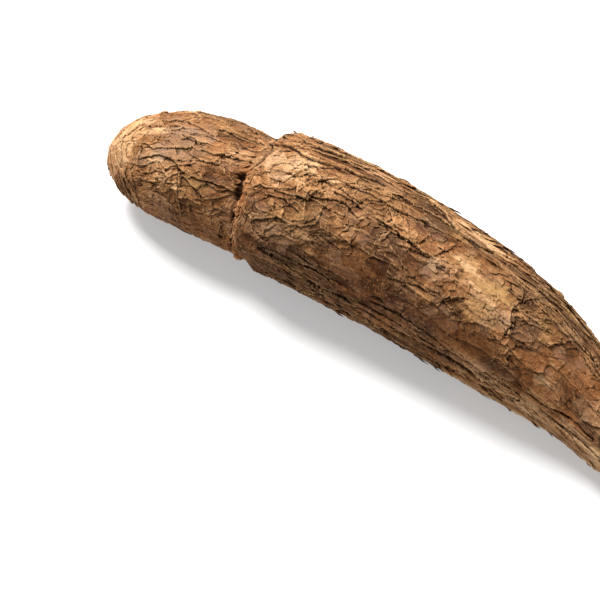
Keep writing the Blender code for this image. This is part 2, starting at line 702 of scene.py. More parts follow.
PATCHES = (
    Patch(8, 120, 18, 30, tone=0.32, warm=-0.1),
    Patch(29, 102, 8, 3, tone=0.55, warm=-0.2, calm=0.4),
    Patch(45, 108, 15, 13, tone=-0.02, grey=0.75),
    Patch(38.5, 131.5, 5, 3, tone=0.62, warm=0.30, calm=0.6),
    Patch(33, 146, 5, 5, tone=-0.30, warm=0.1),
    Patch(72, 124, 9, 7, tone=-0.35, warm=0.1),
    Patch(70, 170, 14, 16, tone=-0.06, warm=0.25),
    Patch(100, 96, 15, 13, tone=0.34, warm=-0.15),
    Patch(109, 86, 7, 2.5, tone=0.35, warm=-0.2, calm=0.5),
    Patch(124, 100, 9, 6, tone=0.26, warm=-0.1),
    Patch(116, 150, 22, 12, tone=0.10, warm=-0.05),
    # Painted shade low on the inner side at the start of the body.
    Patch(112, 190, 14, 7, tone=-0.25, grey=0.2),
    Patch(146, 106, 7, 5, tone=0.18, grey=0.35),
    Patch(160, 122, 11, 8, tone=-0.22, grey=0.35),
    Patch(173, 88, 10, 8, tone=-0.30, grey=0.30),
    Patch(172, 122, 3, 3, tone=-0.40, warm=0.3),
    Patch(184, 112, 3.4, 2.8, tone=0.45, warm=-0.2),
    Patch(182, 126, 17, 8, tone=-0.04, calm=0.50),
    Patch(158, 152, 34, 12, tone=-0.04, warm=0.18, calm=0.70),
    Patch(167, 135, 5, 4.4, tone=-1.00, grey=0.2, calm=0.3),
    Patch(175.5, 150, 5, 3.4, tone=-0.75, grey=0.1),
    Patch(152, 146, 10, 7, tone=0.24, warm=0.05),
    Patch(97, 167, 7, 7, tone=0.12, calm=0.6),
    Patch(132, 137, 8, 7, tone=-0.24, warm=-0.1),
    Patch(146, 174, 16, 3, tone=-0.30, grey=0.1),
    Patch(122, 172, 12, 3, tone=-0.28, grey=0.1),
    Patch(191, 165, 9, 5, tone=-0.26, grey=0.6),
    Patch(227, 160, 8, 3, tone=-0.28, grey=0.3),
    Patch(208, 150, 24, 10, tone=0.02, warm=0.22, calm=0.65),
    Patch(198, 134, 9, 4, tone=-0.24, warm=0.1),
    Patch(208, 106, 14, 12, tone=0.24, warm=-0.22, calm=0.75),
    Patch(196, 94, 8, 5, tone=0.30, warm=-0.2, calm=0.6),
    Patch(188, 59, 20, 4.6, tone=0.62, warm=-0.15, grey=-0.5, calm=0.7),
    Patch(200, 42, 48, 5.4, tone=-0.50, grey=0.40),
    Patch(124, 41, 26, 5.4, tone=-0.26, grey=0.30),
    Patch(55, 50, 22, 6, tone=-0.24, grey=0.20),
    Patch(250, 150, 12, 8, tone=0.16, warm=0.1),
    Patch(215, 113, 12, 12, tone=0.16, warm=-0.28, calm=0.5),
    Patch(233, 113, 10, 9, tone=-0.30, grey=0.5, calm=0.2),
    Patch(205, 178, 16, 6, tone=-0.34, grey=0.35),
    Patch(256, 132, 24, 20, tone=-0.02, warm=0.35, calm=0.45),
    Patch(250, 145, 5, 3, tone=0.32, warm=-0.1),
    Patch(270, 168, 9, 4, tone=0.20, grey=0.3),
    Patch(285, 178, 6, 5, tone=0.34, warm=-0.25),
    Patch(60, 280, 30, 26, tone=0.06, warm=0.15),
    Patch(150, 300, 34, 20, tone=-0.14, warm=0.25, calm=0.5),
    Patch(205, 330, 26, 14, tone=0.22, warm=-0.15, calm=0.3),
    Patch(255, 270, 20, 22, tone=-0.05, warm=0.3, calm=0.4),
)

CRACKS = (
    Crack(((20, 59), (25, 61), (31, 65)), 0.26, 0.60, 0.3),
    Crack(((32, 94), (37, 92)), 0.36, 0.70, 0.4),
    Crack(((43, 100), (47, 101), (53, 101)), 0.28, 0.65, 0.4),
    Crack(((48, 116), (51, 111)), 0.44, 0.85),
    Crack(((42, 83), (47, 86), (54, 87)), 0.32, 0.70, 0.5),
    Crack(((31, 138), (38, 130), (45, 129), (52, 131)), 0.28, 0.65, 0.6),
    Crack(((52, 131), (60, 133), (70, 132), (77, 134), (83, 138)), 0.36, 0.80, 0.6),
    Crack(((52, 132), (54, 141), (55, 150), (58, 162), (62, 184)), 0.28, 0.65, -0.35),
    Crack(((24, 111), (25, 118), (27, 128), (29, 148)), 0.28, 0.65, -0.3),
    Crack(((19, 152), (22, 162), (28, 167), (38, 176), (44, 183)), 0.32, 0.70, 0.3),
    Crack(((56, 76), (63, 75), (70, 75), (75, 71), (82, 77)), 0.36, 0.80, 0.5),
    Crack(((64, 150), (72, 152), (80, 158)), 0.26, 0.60, 0.3),
    Crack(((91, 79), (96, 78), (101, 81), (110, 82), (121, 82)), 0.36, 0.85, 0.9),
    Crack(((102, 69), (106, 67), (113, 66), (122, 61)), 0.32, 0.70, 0.6),
    Crack(((102, 89), (106, 90), (112, 89), (117, 84)), 0.26, 0.60, 0.5),
    Crack(((114, 100), (118, 100), (121, 97)), 0.28, 0.65, 0.5),
    Crack(((110, 111), (112, 118), (118, 117), (120, 108)), 0.28, 0.65, 0.6),
    Crack(((119, 112), (126, 111), (133, 109), (141, 112)), 0.32, 0.80, 0.7),
    Crack(((129, 104), (134, 105), (142, 105)), 0.36, 0.80, 0.6),
    Crack(((100, 128), (108, 126), (116, 130)), 0.26, 0.50, 0.4),
    Crack(((135, 136), (142, 138), (146, 135), (146, 126)), 0.32, 0.70, 0.5),
    Crack(((152, 104), (160, 105), (168, 107), (173, 110)), 0.28, 0.60, 0.7),
    Crack(((167, 114), (174, 112), (180, 112), (189, 112)), 0.22, 0.45, 0.4),
    Crack(((169, 139), (176, 138), (183, 135), (203, 136)), 0.22, 0.45, 0.35),
    Crack(((128, 92), (142, 88), (156, 90), (170, 86)), 0.36, 0.80, 0.6),
    Crack(((122, 80), (138, 74), (152, 76)), 0.40, 0.85, 0.7),
    Crack(((160, 57), (172, 65), (184, 73), (196, 73), (206, 61)), 0.40, 0.85, 0.8),
    Crack(((208, 70), (221, 68), (232, 67), (242, 58), (256, 62)), 0.36, 0.80, 0.6),
    Crack(((236, 76), (250, 80), (262, 77), (276, 84)), 0.40, 0.80, 0.5),
    Crack(((223, 87), (225, 96), (224, 106), (227, 118), (226, 129)), 0.36, 0.70, -0.4),
    Crack(((226, 129), (235, 123)), 0.32, 0.65, 0.3),
    Crack(((98, 182), (112, 176), (126, 174), (138, 177)), 0.76, 1.60, 0.6),
    Crack(((116, 168), (132, 166), (148, 172), (158, 174)), 0.64, 1.50, 0.5),
    Crack(((162, 166), (169, 164), (180, 164)), 0.80, 1.70, 0.5),
    Crack(((145, 202), (162, 196), (172, 188), (200, 186)), 0.80, 1.80, 0.6),
    Crack(((186, 175), (199, 174), (212, 175), (222, 180)), 0.76, 1.70, 0.6),
    Crack(((189, 169), (200, 165), (208, 167)), 0.40, 0.85, 0.4),
    Crack(((203, 195), (213, 203), (226, 195)), 0.76, 1.70, 0.6),
    Crack(((213, 169), (223, 169), (235, 165), (242, 163)), 0.80, 1.70, 0.6),
    Crack(((222, 183), (231, 180), (239, 186), (246, 198)), 0.76, 1.70, 0.6),
    Crack(((258, 164), (268, 160), (280, 158)), 0.80, 1.70, 0.5),
    Crack(((120, 250), (150, 246), (176, 252), (210, 248)), 0.64, 1.30, 0.5),
    Crack(((110, 320), (135, 326), (160, 322)), 0.44, 0.85, 0.5),
    Crack(((180, 300), (205, 306), (232, 300)), 0.44, 0.85, -0.5),
    Crack(((40, 250), (44, 280), (50, 310), (48, 340)), 0.32, 0.65, 0.4),
)


@dataclass
class Seam:
    """The ring where the body's bark ends in a ragged lip over the neck.

    Attributes:
        path: The angle round the root and distance from the neck's tip of places it runs through.
        fray: How far its edge is frayed, in millimetres.
        lip: Height of the lip on the flanks, in millimetres.
        top_lip: How much higher it stands on the outer side, in millimetres.
        lip_fade: How far the lip reaches back over the body, in millimetres.
        groove: Depth of the cleft in front of it, in millimetres.
        groove_width: Width of the cleft, in millimetres.
        fibre: Height of the fibres along the cleft, in millimetres.
        outer: The angle where the lip stands highest, and how far round that reaches, in degrees.
        gape: The angle where the cleft is widest, and how far round that reaches, in degrees.
        belt: The angles between which fibres fill the cleft, in degrees.
        belt_fade: How far round the fibres take to fade in, and to fade out, in degrees.
        flank_width: Width of the cleft away from its widest place, as a share of the whole.
    """

    path: tuple[tuple[float, float], ...] = (
        (0.0, 86.0),
        (45.0, 85.0),
        (79.0, 85.0),
        (92.0, 88.0),
        (101.0, 88.0),
        (108.0, 86.0),
        (116.0, 82.5),
        (122.0, 82.5),
        (132.0, 85.5),
        (156.0, 86.5),
        (178.0, 89.0),
        (205.0, 86.0),
        (250.0, 84.0),
        (300.0, 87.5),
    )
    fray: float = 1.7
    lip: float = 0.50
    top_lip: float = 2.1
    lip_fade: float = 7.0
    groove: float = 2.6
    groove_width: float = 3.0
    fibre: float = 0.9
    outer: tuple[float, float] = (50.0, 38.0)
    gape: tuple[float, float] = (138.0, 24.0)
    belt: tuple[float, float] = (125.0, 247.5)
    belt_fade: tuple[float, float] = (15.0, 17.5)
    flank_width: float = 0.52

    def distance(self, form: RootForm, noise: SoftNoise) -> np.ndarray:
        """Measure how far each point lies past the seam.

        Args:
            form: The smooth form of the root.
            noise: The field that frays the seam.

        Returns:
            The distance towards the tail, in millimetres.
        """
        angles, places = zip(*self.path)
        middle = np.interp(form.around, angles, places, period=360.0)
        frayed = self.fray * noise.octaves(form.straight, (8.0, 6.0, 6.0), 4, 0.68)
        return form.along - middle - frayed

    def lower_share(self, around: np.ndarray) -> np.ndarray:
        """Find how far a belt of fibres fills the seam, which it does low on the inner side.

        Args:
            around: The angle of each point, in degrees.

        Returns:
            The share of the fibres, 0 to 1.
        """
        start, end = self.belt
        fade_in, fade_out = self.belt_fade
        below = smoothstep(start - fade_in, start + fade_in, around)
        return below * (1.0 - smoothstep(end - fade_out, end + fade_out, around))

    def cleft(self, past: np.ndarray, around: np.ndarray) -> np.ndarray:
        """Find how deep in the cleft each point lies.

        Args:
            past: How far each point lies past the seam, in millimetres.
            around: The angle of each point, in degrees.

        Returns:
            The depth as a share of the whole, 0 to 1.
        """
        middle, reach = self.gape
        wide = hump(angle_gap(around, middle), reach, 4)
        width = self.groove_width * (self.flank_width + (1.0 - self.flank_width) * wide)
        return np.exp(-(((past + 0.75 * width) / width) ** 2) * 2.5)

    def relief(self, past: np.ndarray, around: np.ndarray, open_share: np.ndarray) -> np.ndarray:
        """Raise the lip and cut the cleft.

        Args:
            past: How far each point lies past the seam, in millimetres.
            around: The angle of each point, in degrees.
            open_share: How far the cleft is open, 0 to 1.

        Returns:
            The height in millimetres.
        """
        middle, reach = self.outer
        height = self.lip + self.top_lip * hump(angle_gap(around, middle), reach)
        lip = height * np.exp(-np.maximum(past, 0.0) / self.lip_fade)
        cut = self.groove * open_share * self.cleft(past, around)
        return (np.where(past > 0.0, lip, 0.0) - cut).astype(np.float32)


@dataclass(frozen=True)
class Band:
    """A band along the body where the bark has split into long strips.

    Attributes:
        around: The angle of its middle, in degrees.
        width: Half its width, in degrees.
        patchy: How far scales break it up, 0 to 1.
    """

    around: float
    width: float
    patchy: float


BANDS = (Band(56.0, 27.0, 0.30), Band(196.0, 32.0, 0.15), Band(332.0, 24.0, 0.80))


@dataclass
class BarkRelief:
    """All the relief of the bark, and the fields that colour it.

    Attributes:
        form: The smooth form that carries the bark.
        seam: The ring between neck and body.
        ledges: Long sheets of bark on the body, whose edges are ledges that run along the root.
        scales: Shorter sheets on the neck.
        caps: Sheets that lie in rings round the neck's blunt end.
        plates: Large angular plates with cracks between.
        chips: Small angular plates.
        sheets: Large loose flakes.
        flakes: Middle-sized loose flakes.
        crumbs: Small loose flakes.
        strips: Long strips in the bands.
        slivers: Thin slivers on the strips.
        splits: Strips parted by open fissures, on the lower flank and below.
        lumps: Height of the slow swells of the whole surface, in millimetres.
        grain: Height of the finest grain, in millimetres.
        fissure: Depth of the long fissures, in millimetres.
        tapered: How near the tail's tip nothing runs lengthways, and where that ends, in millimetres.
        blunt: How near the neck's tip sheets lie in rings, and where that ends, in millimetres.
        slant: How far those rings slant towards the tail, in millimetres.
        slant_around: The angle where they slant most, and how far round that reaches, in degrees.
        cobbled_along: Where small scales take over from ledges, and how far that reaches, in millimetres.
        cobbled_around: The same around the root, in degrees.
        body_start: Where the body's own bark fades in, in millimetres.
        inner_side: The angles between which the inner side's open splits fade in, in degrees.
        base_tone: The bark's middle tone, 0 to 1.
        owner_tone: How far its pieces differ in tone, and how much further strips do.
        cloud_tone: How far the tone drifts in clouds.
        streak_tone: How far it drifts in streaks, and how much further on strips.
        swell_and_dip_shade: Painted light and shade: how much lighter swells are than dips.
        body_tone: How much darker the body is than the neck.
        outer_tone: How much darker the outer side is.
        under_shade: Painted shade: how much darker the underside is.
        inner_tone: How much darker the inner side of the body is.
        tail_tone: How much lighter the inner side is towards the tail.
        start_shade: Painted shade: how much darker the inner side is at the start of the body.
        height: The relief, in millimetres.
        tone: How light the bark is, 0 to 1.
        warm: How red it is, or yellow where negative.
        grey: How grey it is.
        hollow_shade: Painted shade, by how deep in a crack or under a flake each point lies, 0 to 1.
        rim: How frayed and pale it is, partly a painted highlight on raised edges, 0 to 1.
        calm: How far the relief is worn smooth, 0 to 1.
        past: How far each point lies past the seam, in millimetres.
        strip_share: How far long strips take over from flakes, 0 to 1.
    """

    form: RootForm
    seam: Seam = field(default_factory=Seam)
    ledges: ShingleLayer = ShingleLayer(47, 44.0, 12.0, 0.30, 1.15, 0.20, 75.0, 30.0, 0.80, 0.75, 0.12)
    scales: ShingleLayer = ShingleLayer(67, 13.5, 8.0, 0.24, 1.00, 0.18, 60.0, 45.0, 0.85, 0.78, 0.18)
    caps: ShingleLayer = ShingleLayer(71, 6.4, 12.0, 0.30, 1.20, 0.20, 12.0, 32.0, 0.72, 0.72, 0.24)
    plates: MosaicLayer = MosaicLayer(29, 14.0, 9.0, 0.20, 0.55, 0.45, 0.24, 0.7, 0.15)
    chips: MosaicLayer = MosaicLayer(37, 5.4, 4.4, 0.14, 0.34, 0.22, 0.20, 0.5, 0.0)
    sheets: ShingleLayer = ShingleLayer(11, 16.0, 9.5, 0.25, 1.00, 0.22, 45.0, 45.0, 0.70, 0.76)
    flakes: ShingleLayer = ShingleLayer(23, 8.5, 5.6, 0.15, 0.66, 0.15, 40.0, 45.0, 0.65)
    crumbs: ShingleLayer = ShingleLayer(53, 3.4, 2.4, 0.10, 0.42, 0.06, 30.0, 60.0, 0.75)
    strips: ShingleLayer = ShingleLayer(41, 46.0, 8.2, 0.50, 1.45, 0.20, 86.0, 12.0, 0.92, 0.80, 0.14)
    slivers: ShingleLayer = ShingleLayer(43, 17.0, 3.2, 0.14, 0.46, 0.06, 90.0, 20.0, 0.50, 0.75, 0.16)
    splits: MosaicLayer = MosaicLayer(61, 46.0, 5.6, 0.55, 0.80, 1.90, 0.85, 0.6, -0.30)
    lumps: float = 0.8
    grain: float = 0.07
    fissure: float = 1.7
    tapered: tuple[float, float] = (12.0, 28.0)
    blunt: tuple[float, float] = (15.0, 32.0)
    slant: float = 20.0
    slant_around: tuple[float, float] = (195.0, 40.0)
    cobbled_along: tuple[float, float] = (108.0, 26.0)
    cobbled_around: tuple[float, float] = (130.0, 36.0)
    body_start: tuple[float, float] = (84.0, 100.0)
    inner_side: tuple[float, float] = (120.0, 160.0)
    base_tone: float = 0.52
    owner_tone: tuple[float, float] = (1.20, 0.50)
    cloud_tone: float = 0.26
    streak_tone: tuple[float, float] = (0.18, 0.14)
    swell_and_dip_shade: float = 0.16
    # Painted light and shade: swells lighter, dips darker.
    body_tone: float = 0.10
    outer_tone: float = 0.16
    # Painted shade on the underside.
    under_shade: float = 0.16
    inner_tone: float = 0.24
    tail_tone: float = 0.88
    # Painted shade low on the inner side at the start of the body.
    start_shade: float = 0.18
    height: np.ndarray = field(init=False)
    tone: np.ndarray = field(init=False)
    warm: np.ndarray = field(init=False)
    grey: np.ndarray = field(init=False)
    # Painted shade in cracks, in the seam's cleft and under flakes.
    hollow_shade: np.ndarray = field(init=False)
    # Pale frayed rims, partly a painted highlight on raised edges.
    rim: np.ndarray = field(init=False)
    calm: np.ndarray = field(init=False)
    past: np.ndarray = field(init=False)
    strip_share: np.ndarray = field(init=False)

    def __post_init__(self) -> None:
        """Work out the relief, then the fields that follow from it."""
        self._noise, self._second, self._third = SoftNoise(5), SoftNoise(6), SoftNoise(7)
        self._warp_places()
        self._paint_patches()
        self.past = self.seam.distance(self.form, self._third)
        self.strip_share = self._share_strips()
        self._tip = self._tapered_end()
        bark = self._lay_bark()
        self._raise(bark)
        self._shade(bark)

    def _warp_places(self) -> None:
        """Bend the coordinates a little, so that nothing on the bark runs straight."""
        form = self.form
        big, small = (15.0, 11.0, 11.0), (3.5, 3.0, 3.0)
        shift = []
        for number, noise in enumerate((self._noise, self._second, self._third)):
            moved = form.straight + 31.0 * number
            shift.append(2.2 * noise.at(moved, big) + 0.25 * noise.at(moved, small))
        self._shift = np.stack(shift)
        self._place = form.straight + self._shift
        slow = [2.5 * noise.at(form.tube, (70.0, 40.0, 40.0)) for noise in (self._second, self._third)]
        meander = np.stack((np.zeros_like(slow[0]), slow[0], slow[1]))
        self._tube = form.tube + meander + self._shift * np.array([1.5, 0.3, 0.3], np.float32)[:, None, None]
        self._turn = np.radians(form.around)

    def _paint_patches(self) -> None:
        """Add up the listed patches."""
        form = self.form
        radius = np.hypot(form.straight[1], form.straight[2])
        blank = np.zeros_like(form.along)
        self._patch_tone, self._patch_warm = blank.copy(), blank.copy()
        self._patch_grey, self._patch_hold, self.calm = blank.copy(), blank.copy(), blank.copy()
        wobble = 0.55 * self._noise.octaves(form.straight, (7.0, 5.0, 5.0), 3, 0.6)
        for patch in PATCHES:
            down = (form.along - patch.along) / patch.length
            side = np.radians(angle_gap(form.around, patch.around)) * radius / patch.width
            share = np.sqrt(down**2 + side**2) + wobble
            inside = 1.0 - smoothstep(0.66, 1.02, share)
            self._patch_tone += patch.tone * inside
            self._patch_warm += patch.warm * inside
            self._patch_grey += patch.grey * inside
            self._patch_hold = np.maximum(self._patch_hold, min(1.0, 1.6 * abs(patch.tone)) * inside)
            self.calm = np.maximum(self.calm, patch.calm * inside)

    def _share_strips(self) -> np.ndarray:
        """Work out how far long strips take over from flakes.

        Returns:
            The share of the strips, 0 to 1.
        """
        form = self.form
        body = smoothstep(92.0, 116.0, form.along)
        neck = 0.3 * smoothstep(30.0, 44.0, form.along) * (1.0 - smoothstep(76.0, 86.0, form.along))
        broken = smoothstep(-0.30, 0.15, self._second.octaves(self._place, (30.0, 9.0, 9.0), 3, 0.6))
        share = np.zeros_like(form.along)
        for band in BANDS:
            across = hump(angle_gap(form.around, band.around), band.width, 4)
            share = np.maximum(share, across * (1.0 - band.patchy * (1.0 - broken)))
        return share * np.maximum(body, neck)

    def _crack_height(self) -> np.ndarray:
        """Cut the listed cracks.

        Returns:
            Their depth and the steps beside them, in millimetres.
        """
        form = self.form
        radius = np.maximum(np.hypot(form.straight[1], form.straight[2]), 6.0)
        ragged = [0.7 * self._third.octaves(form.straight + 9.0 * i, (3.0, 2.4, 2.4), 3, 0.7) for i in (0, 1)]
        down = form.along + 0.8 * self._shift[0] + ragged[0]
        side_shift = 0.8 * self._shift[1] + ragged[1]
        total = np.zeros_like(form.along)
        for crack in CRACKS:
            nearest = np.full_like(form.along, 99.0)
            hand = np.zeros_like(form.along)
            for (x0, a0), (x1, a1) in zip(crack.path, crack.path[1:]):
                across = np.radians(angle_gap(form.around, a0)) * radius + side_shift
                run, rise = x1 - x0, np.radians(a1 - a0) * radius
                t = np.clip(((down - x0) * run + across * rise) / (run**2 + rise**2), 0.0, 1.0)
                dx, dy = down - x0 - t * run, across - t * rise
                gap = np.hypot(dx, dy)
                side = np.sign(dx * rise - dy * run)
                closer = gap < nearest
                nearest = np.where(closer, gap, nearest)
                hand = np.where(closer, side, hand)
            opening = crack.width * (0.45 + 0.9 * self._third.at(form.straight, (6.0, 6.0, 6.0)))
            opening = np.maximum(opening, 0.05)
            cut = np.exp(-((nearest / opening) ** 2))
            shelf = np.exp(-nearest / 3.0)
            total += -crack.depth * cut + crack.step * hand * shelf
        return total.astype(np.float32)

    def _fissures(self) -> np.ndarray:
        """Cut the many small fissures that run along the bands of strips.

        Returns:
            Their depth, in millimetres.
        """
        line = np.abs(self._noise.octaves(self._tube, (52.0, 4.6, 4.6), 2, 0.35))
        patchy = smoothstep(-0.15, 0.25, self._third.octaves(self._place, (22.0, 8.0, 8.0), 2))
        return -self.fissure * (1.0 - smoothstep(0.0, 0.085, line)) * patchy

    def _cobbled(self) -> np.ndarray:
        """Find how far small scales take over from ledges behind the seam.

        Returns:
            The share of the scales, 0 to 1.
        """
        place, length = self.cobbled_along
        middle, reach = self.cobbled_around
        return hump(self.form.along - place, length, 4) * hump(angle_gap(self.form.around, middle), reach, 4)

    def _blunt_end(self) -> tuple[np.ndarray, np.ndarray]:
        """Find where sheets lie in rings round the neck's blunt end.

        Returns:
            How far those rings slant towards the tail, in millimetres, and the share of the sheets, 0 to 1.
        """
        middle, reach = self.slant_around
        slant = self.slant * hump(angle_gap(self.form.around, middle), reach)
        return slant, 1.0 - smoothstep(*self.blunt, self.form.along - 0.6 * slant)

    def _tapered_end(self) -> np.ndarray:
        """Find how far the tail's tip is reached, where nothing runs lengthways any more.

        Returns:
            The share of the tip, 0 to 1.
        """
        ragged = 6.0 * self._third.octaves(self.form.straight + 60.0, (14.0, 14.0, 14.0), 2)
        near, far = self.tapered
        return smoothstep(far, near, self.form.along.max() - self.form.along + ragged)

    def _scaly(self, body: np.ndarray) -> np.ndarray:
        """Find how boldly loose flakes stand out.

        Args:
            body: How far each point belongs to the body, 0 to 1.

        Returns:
            The strength of the flakes.
        """
        scaly = self._third.octaves(self._place + 70.0, (30.0, 16.0, 16.0), 2)
        scaly += 0.6 * body * hump(angle_gap(self.form.around, 105.0), 50.0, 4) - 0.1
        return 0.30 + 0.02 * body + (0.42 + 0.18 * body) * smoothstep(-0.15, 0.30, scaly)

    def _lay_bark(self) -> Laid:
        """Lay every layer of bark over the root.

        Returns:
            The layers as one.
        """
        form, place, turn = self.form, self._place, self._turn
        plates = self.plates.build(place + 30.0, turn)
        chips = self.chips.build(place + 90.0, turn)
        sheets = self.sheets.build(place + 75.0, turn)
        flakes = self.flakes.build(place + 60.0, turn)
        crumbs = self.crumbs.build(place + 11.0, turn)
        ledges = self.ledges.build(self._tube + 20.0, turn)
        strips = self.strips.build(self._tube, turn)
        slivers = self.slivers.build(self._tube + 50.0, turn)
        scales = self.scales.build(self._tube + self._shift + 70.0, turn)
        slant, blunt = self._blunt_end()
        caps = self.caps.build(place + np.stack((-slant, 0.0 * slant, 0.0 * slant)) + 140.0, turn)
        splits = self.splits.build(self._tube + 35.0, turn)
        body = smoothstep(*self.body_start, form.along)
        low = smoothstep(*self.inner_side, form.around)
        cobbled = self._cobbled()
        scaly = self._scaly(body) * (1.0 + 0.18 * cobbled)
        loose = pile((sheets, 0.5), (flakes, 0.5)).faded(scaly, scaly)
        shelves = scales.under(caps, np.maximum(blunt, self._tip)).under(ledges, body * (1.0 - self._tip))
        shelves = shelves.faded(1.0 - 0.65 * cobbled, 1.0)
        self._mixed = plates.owner, shelves.owner
        flaky = pile((plates, 0.5), (loose, 0.8), (shelves, 0.5))
        slivers = slivers.faded(0.2 + 0.8 * low, 0.3 + 0.7 * low)
        banded = pile((strips.under(splits, low), 0.9), (slivers, 0.4))
        banded = Laid(banded.height + (0.25 + 1.25 * low) * self._fissures(), banded.owner, banded.edge)
        self.strip_share = self.strip_share * (1.0 - self._tip)
        soft_end = 1.0 - 0.25 * (1.0 - smoothstep(14.0, 32.0, form.along))
        still = (1.0 - 0.85 * self.calm) * soft_end
        coarse = flaky.under(banded, self.strip_share).faded(still, still)
        crumbly = smoothstep(0.10, 0.45, self._noise.octaves(place + 33.0, (20.0, 12.0, 12.0), 2))
        crumbly = np.maximum(crumbly, 0.12 + 0.48 * (1.0 - body))
        chips = chips.faded(0.35 + 0.65 * cobbled, 0.3 + 0.7 * cobbled)
        return pile((coarse, 1.0), (chips, 0.25), (crumbs.faded(crumbly, crumbly), 0.2))

    def _raise(self, bark: Laid) -> None:
        """Add up the relief of the layers, the swells, the grain, the cracks and the seam.

        Args:
            bark: The layers as one.
        """
        form = self.form
        height = bark.height + self.lumps * self._noise.octaves(form.straight, (52.0, 30.0, 30.0), 2)
        height += self.grain * self._second.octaves(form.straight, (1.6, 1.2, 1.2), 2, 0.7)
        height += 0.16 * self._third.octaves(form.straight, (5.0, 3.5, 3.5), 3, 0.6)
        height += self._crack_height()
        self._cleft = smoothstep(-0.5, 0.2, self._noise.octaves(form.straight + 5.0, (9.0, 9.0, 9.0), 2))
        height += self.seam.relief(self.past, form.around, 0.35 + 0.65 * self._cleft)
        threads = self._second.octaves(form.straight, (1.2, 9.0, 9.0), 2, 0.6)
        self._fibre = hump(self.past + 0.3, 3.0) * threads
        self._belt = self.seam.lower_share(form.around) * hump(self.past - 0.5, 3.6, 4)
        height += self.seam.fibre * (0.4 * self._fibre + 2.0 * self._belt * threads)
        self.height = (height - height.mean()).astype(np.float32)

    def _shade(self, bark: Laid) -> None:
        """Work out the painted shade in hollows, the rims with their partly painted highlight, and the colour
        fields.

        Args:
            bark: The layers as one.
        """
        form = self.form
        low = smoothstep(150.0, 175.0, form.around) * (1.0 - smoothstep(250.0, 300.0, form.around))
        wide = self._find_shade_and_rims(bark, low)
        cloudy = self._noise.octaves(form.straight, (26.0, 12.0, 12.0), 3)
        streaky = self._third.octaves(self._tube, (60.0, 5.0, 5.0), 3, 0.6)
        owner_tone, strip_tone = self.owner_tone
        spread = (owner_tone + strip_tone * self.strip_share) * (1.0 - 0.65 * self._patch_hold)
        self.tone = self.base_tone + spread * (bark.owner - 0.5) + self.cloud_tone * cloudy + self._patch_tone
        streak_tone, strip_streak = self.streak_tone
        self.tone += (streak_tone + strip_streak * self.strip_share) * (1.0 - self._tip) * streaky
        # Painted light and shade: swells lighter, dips darker.
        self.tone += self.swell_and_dip_shade * np.clip(wide, -1.0, 1.0)
        self._shift_tones(low)
        self._tint(low)

    def _find_shade_and_rims(self, bark: Laid, low: np.ndarray) -> np.ndarray:
        """Paint shade into the hollows, and find the pale rims of flakes that stand out, which are partly a
        painted highlight.

        Args:
            bark: The layers as one.
            low: How far each point lies on the inner side and below, 0 to 1.

        Returns:
            How high each point stands over its wide surroundings, in millimetres.
        """
        form = self.form
        near = self.height - blur(self.height, 1.1)
        mid = self.height - blur(self.height, 3.6)
        wide = self.height - blur(self.height, 12.0)
        mild = smoothstep(104.0, 126.0, form.along) * hump(angle_gap(form.around, 132.0), 36.0, 4)
        # Painted shade: the further a point lies below its surroundings, the darker it is painted, more so
        # low on the inner side.
        sunk = (1.9 + 0.9 * low - 0.85 * mild) * near + (0.7 - 0.15 * mild) * mid + 0.22 * wide
        self.hollow_shade = np.clip(-sunk - 0.08, 0.0, 1.0)
        # Painted shade in the seam's cleft.
        cleft = self.seam.cleft(self.past, form.around) * (0.25 + 0.75 * self._cleft)
        self.hollow_shade = np.maximum(self.hollow_shade, 0.80 * cleft)
        # Pale rims where the bark stands above its surroundings: partly frayed bark, partly a painted
        # highlight.
        frayed_and_lit_rims = self._second.octaves(form.straight + 120.0, (12.0, 8.0, 8.0), 2)
        rims = (0.35 + 0.65 * bark.edge) * (0.45 + 0.55 * smoothstep(-0.2, 0.25, frayed_and_lit_rims))
        self.rim = np.clip((4.0 * near + 0.3 * mid - 0.10) * rims, 0.0, 1.0)
        return wide

    def _shift_tones(self, low: np.ndarray) -> None:
        """Make whole sides of the root lighter or darker, with painted shade on the underside and low on the
        inner side at the start of the body.

        Args:
            low: How far each point lies on the inner side and below, 0 to 1.
        """
        form = self.form
        body = smoothstep(84.0, 96.0, form.along)
        self.tone -= self.body_tone * smoothstep(80.0, 110.0, form.along)
        self.tone -= self.outer_tone * hump(angle_gap(form.around, 45.0), 40.0)
        # Painted shade on the underside.
        self.tone -= self.under_shade * smoothstep(0.0, 60.0, 60.0 - np.abs(angle_gap(form.around, 225.0)))
        self.tone -= self.inner_tone * smoothstep(122.0, 156.0, form.around) * body
        self.tone += self.tail_tone * low * smoothstep(185.0, 222.0, form.along)
        # Painted shade low on the inner side at the start of the body.
        start = body * (1.0 - smoothstep(125.0, 170.0, form.along))
        self.tone -= self.start_shade * low * start

    def _tint(self, low: np.ndarray) -> None:
        """Work out how red and how grey the bark is.

        Args:
            low: How far each point lies on the inner side and below, 0 to 1.
        """
        form = self.form
        flank = hump(angle_gap(form.around, 165.0), 55.0, 4)
        frayed = hump(self.past + 0.6, 2.8) * (0.3 + 0.7 * flank)
        drift = self._third.octaves(form.straight + 40.0, (30.0, 18.0, 18.0), 2)
        plate_owner, sheet_owner = self._mixed
        veil = 0.25 + 0.75 * smoothstep(0.0, 0.42, self.tone)
        self.warm = veil * (0.3 * drift + self._patch_warm + 0.55 * (sheet_owner - 0.5) + 0.22 * low)
        self.warm += frayed * (0.75 + 1.6 * self._fibre) + 0.8 * self._belt
        self.tone += 0.55 * self._belt * np.maximum(self._fibre, -0.2)
        patchy = self._second.octaves(form.straight + 80.0, (9.0, 6.0, 6.0), 2)
        self.grey = self._patch_grey + 0.6 * smoothstep(0.15, 0.6, patchy)
        self.grey += 0.55 * smoothstep(0.62, 0.95, plate_owner)
        self.grey += 0.45 * self.strip_share * smoothstep(0.55, 0.90, sheet_owner)
        self.grey *= veil


